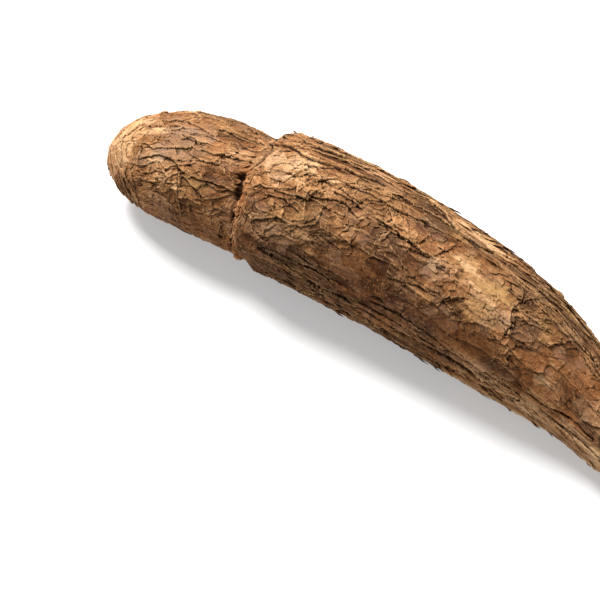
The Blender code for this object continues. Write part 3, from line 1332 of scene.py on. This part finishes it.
@dataclass
class BarkSkin:
    """The bark as one closed mesh with its colour fields.

    Attributes:
        form: The smooth form.
        relief: What lies on it.
        margin: How much of the map stays empty along each side, as a share of it.
    """

    form: RootForm
    relief: BarkRelief
    margin: float = 0.004

    def points(self) -> np.ndarray:
        """Raise the relief on the form, and press the underside flat on the table.

        Returns:
            The bark's points, in millimetres.
        """
        raised = self.form.point + self.form.normal * self.relief.height
        raised[2] = np.maximum(raised[2], 0.0)
        return raised

    def _listed(self, grid: np.ndarray) -> np.ndarray:
        """List a grid ring by ring, with the middles of its first and last ring at the end.

        Args:
            grid: Three rows of coordinates over the grid.

        Returns:
            The list, with a row for each point.
        """
        tips = np.stack((grid[:, 0].mean(axis=1), grid[:, -1].mean(axis=1)))
        return np.concatenate((grid.reshape(3, -1).T, tips))

    def build(self) -> bpy.types.Object:
        """Make the mesh.

        Returns:
            The bark, riding on the root.
        """
        rows, columns = self.form.rows, self.form.columns
        co = self._listed(self.points()) * MM
        index = np.arange(rows * columns).reshape(rows, columns)
        beside = np.roll(index, -1, axis=1)
        quads = np.stack((index[:-1], beside[:-1], beside[1:], index[1:]), axis=-1).reshape(-1, 4)
        count = rows * columns
        neck = np.stack((beside[0], index[0], np.full(columns, count)), axis=-1)
        tail = np.stack((index[-1], beside[-1], np.full(columns, count + 1)), axis=-1)
        mesh = bpy.data.meshes.new("bark_skin")
        mesh.vertices.add(len(co))
        mesh.vertices.foreach_set("co", co.astype(np.float32).ravel())
        loops = np.concatenate((quads.ravel(), neck.ravel(), tail.ravel()))
        sizes = np.concatenate((np.full(len(quads), 4), np.full(2 * columns, 3)))
        mesh.loops.add(len(loops))
        mesh.loops.foreach_set("vertex_index", loops.astype(np.int32))
        mesh.polygons.add(len(sizes))
        starts = np.concatenate(([0], np.cumsum(sizes)[:-1]))
        mesh.polygons.foreach_set("loop_start", starts.astype(np.int32))
        mesh.polygons.foreach_set("use_smooth", np.ones(len(sizes), bool))
        self._unwrap(mesh, loops, columns)
        mesh.update(calc_edges=True)
        mesh.validate()
        self._paint(mesh)
        return add_object("bark_skin", mesh)

    def _unwrap(self, mesh: bpy.types.Mesh, loops: np.ndarray, columns: int) -> None:
        """Lay the bark out flat: around the root across the map, and along it up the map.

        Args:
            mesh: The mesh to unwrap.
            loops: The point at each corner of each face.
            columns: How many points each ring has.
        """
        rows = self.form.rows
        row = np.minimum(loops // columns, rows - 1) / (rows - 1.0)
        column = (loops % columns).astype(float)
        quad_corners = 4 * (rows - 1) * columns
        corner = column[:quad_corners].reshape(-1, 4)
        wraps = (corner[:, 0] > columns - 1.5)[:, None] & (corner < 0.5)
        corner[wraps] = columns
        for fan, first in ((0, quad_corners), (1, quad_corners + 3 * columns)):
            part = column[first : first + 3 * columns].reshape(-1, 3)
            near = part[:, 0:2]
            last = near.max(axis=1) > columns - 1.5
            near[last] = np.where(near[last] < 0.5, columns, near[last])
            part[:, 2] = near.mean(axis=1)
            row[first : first + 3 * columns].reshape(-1, 3)[:, 2] = float(fan)
        layer = mesh.uv_layers.new(name="OFBake")
        u = self.margin + (1.0 - 2.0 * self.margin) * column / columns
        v = self.margin + (1.0 - 2.0 * self.margin) * row
        layer.data.foreach_set("uv", np.stack((u, v), axis=-1).astype(np.float32).ravel())

    def _paint(self, mesh: bpy.types.Mesh) -> None:
        """Store the fields that the bark's finish reads.

        Args:
            mesh: The bark's mesh, with its points in the order of the grid and the two tips last.
        """
        # These fields include painted shade in hollows and pale rims that are partly a painted highlight.
        for name in ("tone", "warm", "grey", "hollow_shade", "rim"):
            values = getattr(self.relief, name)
            store_field(mesh, name, np.concatenate((values.ravel(), [values[0].mean(), values[-1].mean()])))
        store_field(mesh, "run", self._listed(self.form.tube))
        store_field(mesh, "place", self._listed(self.form.straight))


class FlakePlace(Enum):
    """Where a batch of loose flakes grows."""

    EVERYWHERE = "everywhere"
    SEAM = "seam"
    LIP = "lip"
    BANDS = "bands"


@dataclass(frozen=True)
class FlakeBatch:
    """A batch of loose papery flakes.

    Attributes:
        place: Where they grow.
        count: How many.
        length: Shortest and longest, in millimetres.
        width: Narrowest and widest as shares of the length.
        lift: Least and most height of the free edge, in millimetres.
        heading: Which way the free edge points, in degrees from the tail towards a rising angle.
        swing: How much that direction varies, in degrees.
        tone: How much lighter or darker they are than the bark below.
    """

    place: FlakePlace
    count: int
    length: tuple[float, float]
    width: tuple[float, float]
    lift: tuple[float, float]
    heading: float = 3.0
    swing: float = 34.0
    tone: float = -0.04


@dataclass
class LooseFlakes:
    """Thin flakes that have peeled up from the bark and still hold by one edge.

    Attributes:
        form: The smooth form.
        relief: The relief that the flakes lie on.
        skin: The points of the bark, in millimetres.
        batches: What grows where.
        thickness: Thickness of a flake, in millimetres.
        clearance: How far above the table a flake's top stays, in millimetres.
        bare_rows: How many rings of the grid at each tip carry no flakes.
        bed_blur: How far the bark below is smoothed to seat the flakes, in grid squares.
        curl: Least and most that the sides turn up, as a share of the lift.
        sunk: How deep the held edge sinks into the bark, in millimetres.
        ragged_side: How uneven a flake's sides are, as a share of its width.
        ragged_end: How uneven its free end is, as a share of its length.
        seam_at: Where the seam's flakes hang past it, and how far that reaches, in millimetres.
        lip_at: The same for the lip's flakes.
        lip_around: The angle where those are thickest, and how far round that reaches, in degrees.
        seed: Which set of flakes.
        cells_long: Grid squares along a flake.
        cells_wide: Grid squares across a flake.
    """

    form: RootForm
    relief: BarkRelief
    skin: np.ndarray
    batches: tuple[FlakeBatch, ...] = (
        FlakeBatch(FlakePlace.EVERYWHERE, 360, (2.5, 6.5), (0.45, 0.9), (0.20, 0.55)),
        FlakeBatch(FlakePlace.BANDS, 340, (4.0, 13.0), (0.14, 0.30), (0.30, 1.05), swing=6.0),
        FlakeBatch(FlakePlace.SEAM, 110, (1.6, 5.0), (0.16, 0.45), (0.2, 0.8), heading=93.0),
        FlakeBatch(FlakePlace.LIP, 46, (2.4, 6.0), (0.35, 0.8), (0.8, 2.0), heading=183.0, tone=-0.26),
    )
    thickness: float = 0.22
    clearance: float = 0.15
    bare_rows: int = 40
    bed_blur: float = 4.0
    curl: tuple[float, float] = (-0.15, 0.5)
    sunk: float = 0.30
    ragged_side: float = 0.10
    ragged_end: float = 0.07
    seam_at: tuple[float, float] = (2.6, 1.3)
    lip_at: tuple[float, float] = (1.8, 1.6)
    lip_around: tuple[float, float] = (52.0, 32.0)
    seed: int = 71
    cells_long: int = 8
    cells_wide: int = 6

    def _weight(self, place: FlakePlace) -> np.ndarray:
        """Work out how likely each grid point is to carry a flake.

        Args:
            place: Where the flakes grow.

        Returns:
            The weight of each point.
        """
        if place is FlakePlace.SEAM:
            middle, reach = self.seam_at
            return hump(self.relief.past - middle, reach)
        if place is FlakePlace.LIP:
            middle, reach = self.lip_at
            angle, width = self.lip_around
            return hump(angle_gap(self.form.around, angle), width) * hump(self.relief.past - middle, reach)
        if place is FlakePlace.BANDS:
            return self.relief.strip_share**2
        return (1.0 - self.relief.calm) * (1.0 - self.relief.strip_share)

    def _seats(self, batch: FlakeBatch, draw: np.random.Generator) -> tuple[np.ndarray, np.ndarray]:
        """Choose the place that each flake of a batch hangs from.

        Args:
            batch: The flakes to place.
            draw: Where the random numbers come from.

        Returns:
            The grid row and the grid column of each flake.
        """
        weight = self._weight(batch.place) * np.hypot(self.form.straight[1], self.form.straight[2])
        weight[: self.bare_rows] = 0.0
        weight[-self.bare_rows :] = 0.0
        total = np.cumsum(weight.ravel().astype(float))
        spots = np.searchsorted(total, draw.random(batch.count) * total[-1])
        return np.divmod(spots, self.form.columns)

    def _sample(self, source: np.ndarray, row: np.ndarray, column: np.ndarray) -> np.ndarray:
        """Read a field between its grid points.

        Args:
            source: The field, with the grid as its last two axes.
            row: Rows to read, with fractions.
            column: Columns to read, with fractions.

        Returns:
            The values, with the places as the last axes.
        """
        row = np.clip(row, 0.0, self.form.rows - 1.001)
        low_row, low_column = np.floor(row).astype(int), np.floor(column).astype(int)
        t, u = row - low_row, column - low_column
        c0, c1 = low_column % self.form.columns, (low_column + 1) % self.form.columns
        top = source[..., low_row, c0] * (1.0 - u) + source[..., low_row, c1] * u
        bottom = source[..., low_row + 1, c0] * (1.0 - u) + source[..., low_row + 1, c1] * u
        return top * (1.0 - t) + bottom * t

    def _batch_points(self, batch: FlakeBatch, draw: np.random.Generator) -> tuple[np.ndarray, ...]:
        """Shape one batch.

        Args:
            batch: What to make.
            draw: Where the random numbers come from.

        Returns:
            Upper and lower points, and the grid rows and columns below them.
        """
        rows, columns = self._seats(batch, draw)
        shape = (batch.count, 1, 1)
        length = draw.uniform(*batch.length, shape)
        width = length * draw.uniform(*batch.width, shape)
        heading = np.radians(draw.normal(batch.heading, batch.swing, shape))
        v = np.linspace(0.0, 1.0, self.cells_long + 1)[None, :, None]
        u = np.linspace(-1.0, 1.0, self.cells_wide + 1)[None, None, :]
        bumps = draw.normal(0.0, self.ragged_side, (batch.count, self.cells_long + 1, 2))
        profile = np.sin(np.pi * (0.12 + 0.80 * v) ** 0.8) ** 0.6
        half = 0.5 * width * profile
        half = half * (1.0 + np.where(u > 0, bumps[:, :, :1], bumps[:, :, 1:]))
        end = draw.normal(0.0, self.ragged_end, (batch.count, 1, self.cells_wide + 1)) * v**2
        forward = length * (v * (1.0 + end) - 0.15 * u**2 * v)
        sideways = half * u
        step = self.form.step
        radius = np.hypot(self.form.straight[1], self.form.straight[2])[rows, columns][:, None, None]
        squeeze = np.maximum(radius / self.form.girth_radius, 0.25)
        along = forward * np.cos(heading) - sideways * np.sin(heading)
        across = forward * np.sin(heading) + sideways * np.cos(heading)
        row = rows[:, None, None] + along / step
        column = columns[:, None, None] + across / (step * squeeze)
        rest = self._sample(self._bed, row, column)
        normal = self._sample(self.form.normal, row, column)
        lift = draw.uniform(*batch.lift, shape)
        curl = draw.uniform(*self.curl, shape)
        rise = lift * (v**1.5) + curl * lift * np.abs(u) ** 2 * v - self.sunk * (1.0 - v) ** 2
        thin = self.thickness * (1.0 - 0.55 * np.maximum(v**3, np.abs(u) ** 3))
        top = rest + normal * (rise + thin)
        under = rest + normal * (rise - 0.15 * (1.0 - v))
        return top, under, row, column

    def build(self) -> bpy.types.Object:
        """Make every flake in one mesh.

        Returns:
            The flakes.
        """
        draw = np.random.default_rng(self.seed)
        self._bed = np.stack([blur(axis, self.bed_blur) for axis in self.skin])
        parts = list(zip(*[self._batch_points(batch, draw) for batch in self.batches]))
        top, under = (np.concatenate(part, axis=1) for part in parts[:2])
        row, column = (np.concatenate(part) for part in parts[2:])
        count, long, wide = row.shape
        top[2], under[2] = np.maximum(top[2], self.clearance), np.maximum(under[2], 0.0)
        block = long * wide
        upper = top.reshape(3, count, block)
        lower = under.reshape(3, count, block)
        points = np.concatenate((upper, lower), axis=2).reshape(3, -1).T * MM
        faces = self._flake_faces(long, wide)
        every = (faces[None] + (2 * block * np.arange(count))[:, None, None]).reshape(-1, 4)
        mesh = bpy.data.meshes.new("bark_flakes")
        mesh.from_pydata(points.tolist(), [], every.tolist())
        mesh.shade_smooth()
        self._paint(mesh, row, column, draw)
        return add_object("bark_flakes", mesh)

    def _flake_faces(self, long: int, wide: int) -> np.ndarray:
        """List the faces of one flake: its top, its underside and its thin edge.

        Args:
            long: Points along the flake.
            wide: Points across it.

        Returns:
            The four points of each face.
        """
        index = np.arange(long * wide).reshape(long, wide)
        low = index + long * wide
        top = np.stack((index[:-1, :-1], index[:-1, 1:], index[1:, 1:], index[1:, :-1]), axis=-1)
        under = np.stack((low[:-1, :-1], low[1:, :-1], low[1:, 1:], low[:-1, 1:]), axis=-1)
        border = np.concatenate((index[0], index[1:, -1], index[-1, -2::-1], index[-2:0:-1, 0]))
        following = np.roll(border, -1)
        shift = long * wide
        edge = np.stack((following, border, border + shift, following + shift), axis=-1)
        return np.concatenate((top.reshape(-1, 4), under.reshape(-1, 4), edge))

    def _paint(
        self, mesh: bpy.types.Mesh, row: np.ndarray, column: np.ndarray, draw: np.random.Generator
    ) -> None:
        """Store the fields that the finish reads, taken from the bark below, with each flake's own tone, a
        pale edge that is partly a painted highlight, and painted shade on the underside.

        Args:
            mesh: The flakes' mesh.
            row: The grid row below each point of each flake.
            column: The grid column below each point.
            draw: Where the random numbers come from.
        """
        relief = self.relief
        count, long, wide = row.shape
        tones = np.repeat([batch.tone for batch in self.batches], [batch.count for batch in self.batches])
        own = tones[:, None, None] + draw.normal(0.0, 0.10, (count, 1, 1))
        v = np.linspace(0.0, 1.0, long)[None, :, None]
        u = np.abs(np.linspace(-1.0, 1.0, wide))[None, None, :]
        edge = np.maximum(v**4, u**4) * np.ones((count, 1, 1))
        fields = {
            "tone": self._sample(relief.tone, row, column) + own,
            "warm": self._sample(relief.warm, row, column),
            "grey": self._sample(relief.grey, row, column),
            "hollow_shade": np.zeros(row.shape),
            # A pale edge, partly a painted highlight.
            "rim": 0.35 * edge,
        }
        for name, values in fields.items():
            flat = values.reshape(count, -1)
            both = np.concatenate((flat, flat), axis=1)
            # Painted shade on each flake's underside.
            if name == "hollow_shade":
                both[:, long * wide :] = 0.3
            store_field(mesh, name, both.ravel())
        for name, grid in (("run", self.form.tube), ("place", self.form.straight)):
            place = self._sample(grid, row, column).reshape(3, count, -1)
            store_field(mesh, name, np.concatenate((place, place), axis=2).reshape(3, -1).T)


# ---- Finishes ----


class Graph:
    """A material's nodes, wired up one call at a time."""

    def __init__(self, name: str) -> None:
        """Start a material that holds only its shader.

        Args:
            name: The material's name.
        """
        self.material = bpy.data.materials.new(name)
        self.material.use_nodes = True
        self.tree = self.material.node_tree
        self.shader = self.tree.nodes["Principled BSDF"]

    def node(self, kind: str, **settings: object) -> bpy.types.Node:
        """Add a node.

        Args:
            kind: Its type.
            settings: Its own properties.

        Returns:
            The node.
        """
        made = self.tree.nodes.new(kind)
        for name, value in settings.items():
            setattr(made, name, value)
        return made

    def wire(self, value: object, socket: Socket) -> None:
        """Link an output to a socket, or set the socket where the value is a plain one.

        Args:
            value: The output or the plain value.
            socket: The socket that takes it.
        """
        if isinstance(value, Socket):
            self.tree.links.new(value, socket)
        else:
            socket.default_value = value

    def field(self, name: str, vector: bool = False) -> Socket:
        """Return a field that the mesh carries."""
        made = self.node("ShaderNodeAttribute", attribute_name=name)
        return made.outputs["Vector" if vector else "Fac"]

    def math(self, operation: str, a: object, b: object = 0.0, clamp: bool = False) -> Socket:
        """Work on two values.

        Args:
            operation: What to do with them.
            a: The first value.
            b: The second value.
            clamp: Whether to hold the result between 0 and 1.

        Returns:
            The result.
        """
        made = self.node("ShaderNodeMath", operation=operation, use_clamp=clamp)
        self.wire(a, made.inputs[0])
        self.wire(b, made.inputs[1])
        return made.outputs[0]

    def stretch(self, vector: object, scale: Size) -> Socket:
        """Scale a vector along each axis.

        Args:
            vector: The vector.
            scale: The scale of each axis.

        Returns:
            The scaled vector.
        """
        made = self.node("ShaderNodeVectorMath", operation="MULTIPLY")
        self.wire(vector, made.inputs[0])
        self.wire(scale, made.inputs[1])
        return made.outputs[0]

    def noise(self, vector: object, scale: float, detail: float, rough: float) -> Socket:
        """Read a soft noise.

        Args:
            vector: Where to read it.
            scale: How many lumps there are in a unit of length.
            detail: How many finer octaves it has.
            rough: The strength of each octave as a share of the last.

        Returns:
            The noise, between 0 and 1.
        """
        made = self.node("ShaderNodeTexNoise")
        self.wire(vector, made.inputs["Vector"])
        self.wire(scale, made.inputs["Scale"])
        self.wire(detail, made.inputs["Detail"])
        self.wire(rough, made.inputs["Roughness"])
        return made.outputs["Fac"]

    def remap(self, value: object, low: float, high: float, to_low: float, to_high: float) -> object:
        """Move a value from one range to another and hold it inside that.

        Args:
            value: The value.
            low: Start of the range it comes from.
            high: End of that range.
            to_low: Start of the range it goes to.
            to_high: End of that range.

        Returns:
            The moved value.
        """
        made = self.node("ShaderNodeMapRange", clamp=True)
        for socket, number in zip(made.inputs, (value, low, high, to_low, to_high)):
            self.wire(number, socket)
        return made.outputs["Result"]

    def ramp(self, factor: object, stops: tuple[tuple[float, Colour], ...]) -> Socket:
        """Return a colour read from a ramp.

        Args:
            factor: Where to read it.
            stops: Each stop's place and colour.

        Returns:
            The colour.
        """
        made = self.node("ShaderNodeValToRGB")
        elements = made.color_ramp.elements
        while len(elements) < len(stops):
            elements.new(0.5)
        for element, (place, colour) in zip(elements, stops):
            element.position = place
            element.color = (*colour, 1.0)
        self.wire(factor, made.inputs["Fac"])
        return made.outputs["Color"]

    def blend(self, factor: object, a: object, b: object) -> Socket:
        """Blend one colour over another.

        Args:
            factor: How much of the upper one shows, 0 to 1.
            a: The lower colour.
            b: The upper colour.

        Returns:
            The blended colour.
        """
        made = self.node("ShaderNodeMix", data_type="RGBA", clamp_factor=True)
        self.wire(factor, made.inputs["Factor"])
        for value, socket in ((a, made.inputs[6]), (b, made.inputs[7])):
            self.wire((*value, 1.0) if isinstance(value, tuple) else value, socket)
        return made.outputs[2]


@dataclass(frozen=True)
class BarkFinish:
    """Dull flaking root bark.

    Attributes:
        name: The material's name.
        tones: The bark's colours, from its darkest to its palest.
        warm: The colour of red, fibrous bark.
        yellow: The colour of bare, yellowish bark.
        grey: The colour of weathered, greyish bark.
        crevice_and_shade: The colour of hair cracks and pits, and of the painted shade in cracks and under
            scales.
        rim: The colour of frayed edges and pale crumbs, also used for a painted highlight on raised edges.
        grain_height: Height of the finest grain, in metres.
    """

    name: str = "bark"
    tones: tuple[tuple[float, Colour], ...] = (
        (0.0, (0.036, 0.0120, 0.0036)),
        (0.25, (0.084, 0.0310, 0.0098)),
        (0.5, (0.155, 0.0650, 0.0225)),
        (0.75, (0.270, 0.1320, 0.0540)),
        (1.0, (0.440, 0.2700, 0.1400)),
    )
    warm: Colour = (0.212, 0.070, 0.021)
    yellow: Colour = (0.330, 0.190, 0.074)
    grey: Colour = (0.170, 0.100, 0.063)
    # Near-black for hair cracks and pits, and for painted shade in cracks and under scales.
    crevice_and_shade: Colour = (0.012, 0.0042, 0.0015)
    rim: Colour = (0.460, 0.265, 0.120)
    grain_height: float = 0.00014

    def build(self) -> bpy.types.Material:
        """Wire the finish up.

        Returns:
            The material.
        """
        graph = Graph(self.name)
        run = graph.field("run", vector=True)
        place = self._ruffled(graph, graph.field("place", vector=True))
        streak = graph.noise(graph.stretch(run, (0.25, 1.0, 1.0)), 1.1, 4.0, 0.65)
        mottle = graph.noise(place, 0.5, 5.0, 0.65)
        flecks = graph.noise(place, 1.6, 3.0, 0.7)
        tone = graph.math("ADD", graph.field("tone"), graph.remap(streak, 0.25, 0.75, -0.20, 0.20))
        tone = graph.math("ADD", tone, graph.remap(mottle, 0.3, 0.7, -0.15, 0.15))
        tone = graph.math("ADD", tone, graph.remap(flecks, 0.3, 0.7, -0.13, 0.13), clamp=True)
        colour = graph.ramp(tone, self.tones)
        warm = graph.field("warm")
        colour = graph.blend(graph.math("MULTIPLY", warm, 0.62, clamp=True), colour, self.warm)
        yellow = graph.math("MULTIPLY", warm, -0.9, clamp=True)
        colour = graph.blend(yellow, colour, self.yellow)
        grey = graph.math("MULTIPLY", graph.field("grey"), 0.62, clamp=True)
        colour = graph.blend(grey, colour, self.grey)
        line, beside = self._crackle(graph, place)
        colour = graph.blend(graph.math("MULTIPLY", beside, 0.22), colour, self.rim)
        colour = self._specks(graph, place, colour)
        # Pale rims: partly frayed edges, partly a painted highlight on raised edges.
        rim = graph.math("MULTIPLY", graph.field("rim"), 0.66, clamp=True)
        colour = graph.blend(rim, colour, self.rim)
        colour = graph.blend(graph.math("MULTIPLY", line, 0.38), colour, self.crevice_and_shade)
        # Painted shade in cracks, in the seam's cleft and under flakes.
        hollow_shade = graph.remap(graph.field("hollow_shade"), 0.08, 0.60, 0.0, 0.93)
        colour = graph.blend(hollow_shade, colour, self.crevice_and_shade)
        graph.wire(colour, graph.shader.inputs["Base Color"])
        rough = graph.remap(mottle, 0.3, 0.7, 0.66, 0.86)
        graph.wire(rough, graph.shader.inputs["Roughness"])
        graph.wire(0.06, graph.shader.inputs["Specular IOR Level"])
        self._grain(graph, run, line)
        return graph.material

    def _ruffled(self, graph: Graph, place: object) -> Socket:
        """Shift the place a little and unevenly, so that fine cracks run ragged.

        Args:
            graph: The material's nodes.
            place: Where on the root.

        Returns:
            The shifted place.
        """
        noise = graph.node("ShaderNodeTexNoise")
        graph.wire(place, noise.inputs["Vector"])
        graph.wire(0.9, noise.inputs["Scale"])
        graph.wire(3.0, noise.inputs["Detail"])
        shift = graph.stretch(noise.outputs["Color"], (1.3, 1.3, 1.3))
        made = graph.node("ShaderNodeVectorMath", operation="ADD")
        graph.wire(place, made.inputs[0])
        graph.wire(shift, made.inputs[1])
        return made.outputs[0]

    def _crackle(self, graph: Graph, place: object) -> tuple[object, object]:
        """Draw the net of hair cracks on the flakes.

        Args:
            graph: The material's nodes.
            place: Where on the root.

        Returns:
            How much of a crack lies there, and how much of the pale edge beside it, 0 to 1.
        """
        cells = graph.node("ShaderNodeTexVoronoi", feature="DISTANCE_TO_EDGE")
        graph.wire(graph.stretch(place, (0.6, 1.0, 1.0)), cells.inputs["Vector"])
        graph.wire(0.42, cells.inputs["Scale"])
        shown = graph.remap(graph.noise(place, 0.22, 3.0, 0.6), 0.45, 0.62, 0.0, 1.0)
        line = graph.remap(cells.outputs["Distance"], 0.02, 0.085, 1.0, 0.0)
        near = graph.remap(cells.outputs["Distance"], 0.06, 0.20, 1.0, 0.0)
        beside = graph.math("SUBTRACT", near, line, clamp=True)
        return graph.math("MULTIPLY", line, shown), graph.math("MULTIPLY", beside, shown)

    def _specks(self, graph: Graph, place: object, colour: object) -> Socket:
        """Scatter small dark pits and pale crumbs.

        Args:
            graph: The material's nodes.
            place: Where on the root.
            colour: The colour below them.

        Returns:
            The colour with them.
        """
        pits = graph.node("ShaderNodeTexVoronoi")
        graph.wire(place, pits.inputs["Vector"])
        graph.wire(0.55, pits.inputs["Scale"])
        near = graph.remap(pits.outputs["Distance"], 0.10, 0.26, 1.0, 0.0)
        patchy = graph.remap(graph.noise(place, 0.12, 2.0, 0.5), 0.42, 0.60, 0.0, 0.75)
        colour = graph.blend(graph.math("MULTIPLY", near, patchy), colour, self.crevice_and_shade)
        crumbs = graph.node("ShaderNodeTexVoronoi")
        graph.wire(place, crumbs.inputs["Vector"])
        graph.wire(0.72, crumbs.inputs["Scale"])
        near = graph.remap(crumbs.outputs["Distance"], 0.12, 0.26, 1.0, 0.0)
        patchy = graph.remap(graph.noise(place, 0.16, 2.0, 0.5), 0.48, 0.62, 0.0, 0.6)
        return graph.blend(graph.math("MULTIPLY", near, patchy), colour, self.rim)

    def _grain(self, graph: Graph, run: object, line: object) -> None:
        """Roughen the surface with a grain finer than the mesh.

        Args:
            graph: The material's nodes.
            run: Place along and around the root.
            line: How much of a hair crack lies there.
        """
        fine = graph.noise(graph.stretch(run, (0.5, 1.0, 1.0)), 2.6, 4.0, 0.68)
        bump = graph.node("ShaderNodeBump")
        graph.wire(0.8, bump.inputs["Strength"])
        graph.wire(self.grain_height, bump.inputs["Distance"])
        graph.wire(graph.math("SUBTRACT", fine, graph.math("MULTIPLY", line, 0.9)), bump.inputs["Height"])
        graph.wire(bump.outputs["Normal"], graph.shader.inputs["Normal"])


@dataclass(frozen=True)
class StudioFinish:
    """Plain matt white glass for the table, lit a little from below.

    Attributes:
        colour: Its colour.
        glow: How brightly it is lit from below.
        rough: Its roughness.
        gloss: How strongly it mirrors.
    """

    colour: Colour = (0.50, 0.50, 0.505)
    glow: float = 0.36
    rough: float = 0.95
    gloss: float = 0.1

    def build(self) -> bpy.types.Material:
        """Wire the finish up.

        Returns:
            The material.
        """
        graph = Graph("studio_glass")
        graph.wire((*self.colour, 1.0), graph.shader.inputs["Base Color"])
        graph.wire((1.0, 1.0, 1.0, 1.0), graph.shader.inputs["Emission Color"])
        graph.wire(self.glow, graph.shader.inputs["Emission Strength"])
        graph.wire(self.rough, graph.shader.inputs["Roughness"])
        graph.wire(self.gloss, graph.shader.inputs["Specular IOR Level"])
        return graph.material


# ---- Studio ----


@dataclass(frozen=True)
class SoftLight:
    """A square soft light aimed at the root.

    Attributes:
        name: What it is called.
        azimuth: Where it stands round the root, in degrees, as seen from above.
        elevation: How high it stands, in degrees.
        distance: How far away, in metres.
        size: Its side, in metres.
        power: Its power in watts.
        colour: Its colour.
    """

    name: str
    azimuth: float
    elevation: float
    distance: float
    size: float
    power: float
    colour: Colour = (1.0, 1.0, 1.0)


@dataclass
class Studio:
    """A white table, soft lights and the camera.

    Attributes:
        azimuth: Where the camera stands round the root, in degrees.
        elevation: How high it stands, in degrees.
        distance: How far it stands from what it looks at, in metres.
        lens: Its focal length, in millimetres.
        aim: The point it looks at, in metres.
        clip: The nearest and the farthest it sees, in metres.
        lit: The point that the lights face, in metres.
        table: Side of the table, in metres.
        lights: The lights.
        sky: Brightness of the white surroundings.
    """

    azimuth: float = 37.1
    elevation: float = 50.0
    distance: float = 1.02
    lens: float = 135.0
    aim: Size = (-0.0193, -0.0410, 0.030)
    clip: tuple[float, float] = (0.05, 30.0)
    lit: Size = (0.0, 0.0, 0.03)
    table: float = 12.0
    lights: tuple[SoftLight, ...] = (
        SoftLight("key", 256.0, 55.0, 1.2, 0.55, 38.0, (1.0, 0.985, 0.965)),
        SoftLight("back", 190.0, 50.0, 1.3, 0.70, 9.0, (1.0, 0.99, 0.98)),
    )
    sky: float = 0.46

    def _stand(self, thing: bpy.types.Object, target: Size, way: tuple[float, float], off: float) -> None:
        """Stand the camera or a lamp off a point and turn it towards that point.

        Args:
            thing: The camera or the lamp.
            target: The point, in metres.
            way: The azimuth and the elevation it stands at, in degrees.
            off: How far off it stands, in metres.
        """
        a, e = (math.radians(angle) for angle in way)
        away = Vector((math.sin(a) * math.cos(e), -math.cos(a) * math.cos(e), math.sin(e)))
        thing.location = Vector(target) + away * off
        thing.rotation_mode = "QUATERNION"
        thing.rotation_quaternion = (-away).to_track_quat("-Z", "Y")

    def add_camera(self) -> None:
        """Add the camera."""
        data = bpy.data.cameras.new("camera")
        data.lens = self.lens
        data.clip_start, data.clip_end = self.clip
        camera = add_object("camera", data)
        self._stand(camera, self.aim, (self.azimuth, self.elevation), self.distance)
        bpy.context.scene.camera = camera

    def add_lights(self) -> None:
        """Add the lights and the white surroundings."""
        for light in self.lights:
            data = bpy.data.lights.new(light.name, "AREA")
            data.size = light.size
            data.energy = light.power
            data.color = light.colour
            lamp = add_object(light.name, data)
            self._stand(lamp, self.lit, (light.azimuth, light.elevation), light.distance)
        world = bpy.data.worlds.new("studio")
        world.use_nodes = True
        background = world.node_tree.nodes["Background"]
        background.inputs["Color"].default_value = (1.0, 1.0, 1.0, 1.0)
        background.inputs["Strength"].default_value = self.sky
        bpy.context.scene.world = world
        bpy.context.scene.view_settings.view_transform = "Standard"

    def add_table(self) -> None:
        """Add the white table."""
        mesh = bpy.data.meshes.new("table")
        half = self.table / 2.0
        corners = [(-half, -half, 0.0), (half, -half, 0.0), (half, half, 0.0), (-half, half, 0.0)]
        mesh.from_pydata(corners, [], [(0, 1, 2, 3)])
        mesh.materials.append(StudioFinish().build())
        add_object("table", mesh)


def main() -> None:
    """Build the root's looks and the studio, and report each piece."""
    logging.basicConfig(level=logging.INFO, format="%(name)s: %(message)s", force=True)
    form = RootForm()
    LOG.info("form: %d rings of %d points", form.rows, form.columns)
    relief = BarkRelief(form)
    LOG.info("relief: %.2f to %.2f mm", relief.height.min(), relief.height.max())
    finish = BarkFinish().build()
    skin = BarkSkin(form, relief)
    bark = skin.build()
    flakes = LooseFlakes(form, relief, skin.points()).build()
    for piece in (bark, flakes):
        piece.data.materials.append(finish)
        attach(piece, BODY)
        LOG.info("%s: %d faces", piece.name, len(piece.data.polygons))
    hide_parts(NODE)
    studio = Studio()
    studio.add_table()
    studio.add_lights()
    studio.add_camera()


if __name__ == "__main__":
    main()
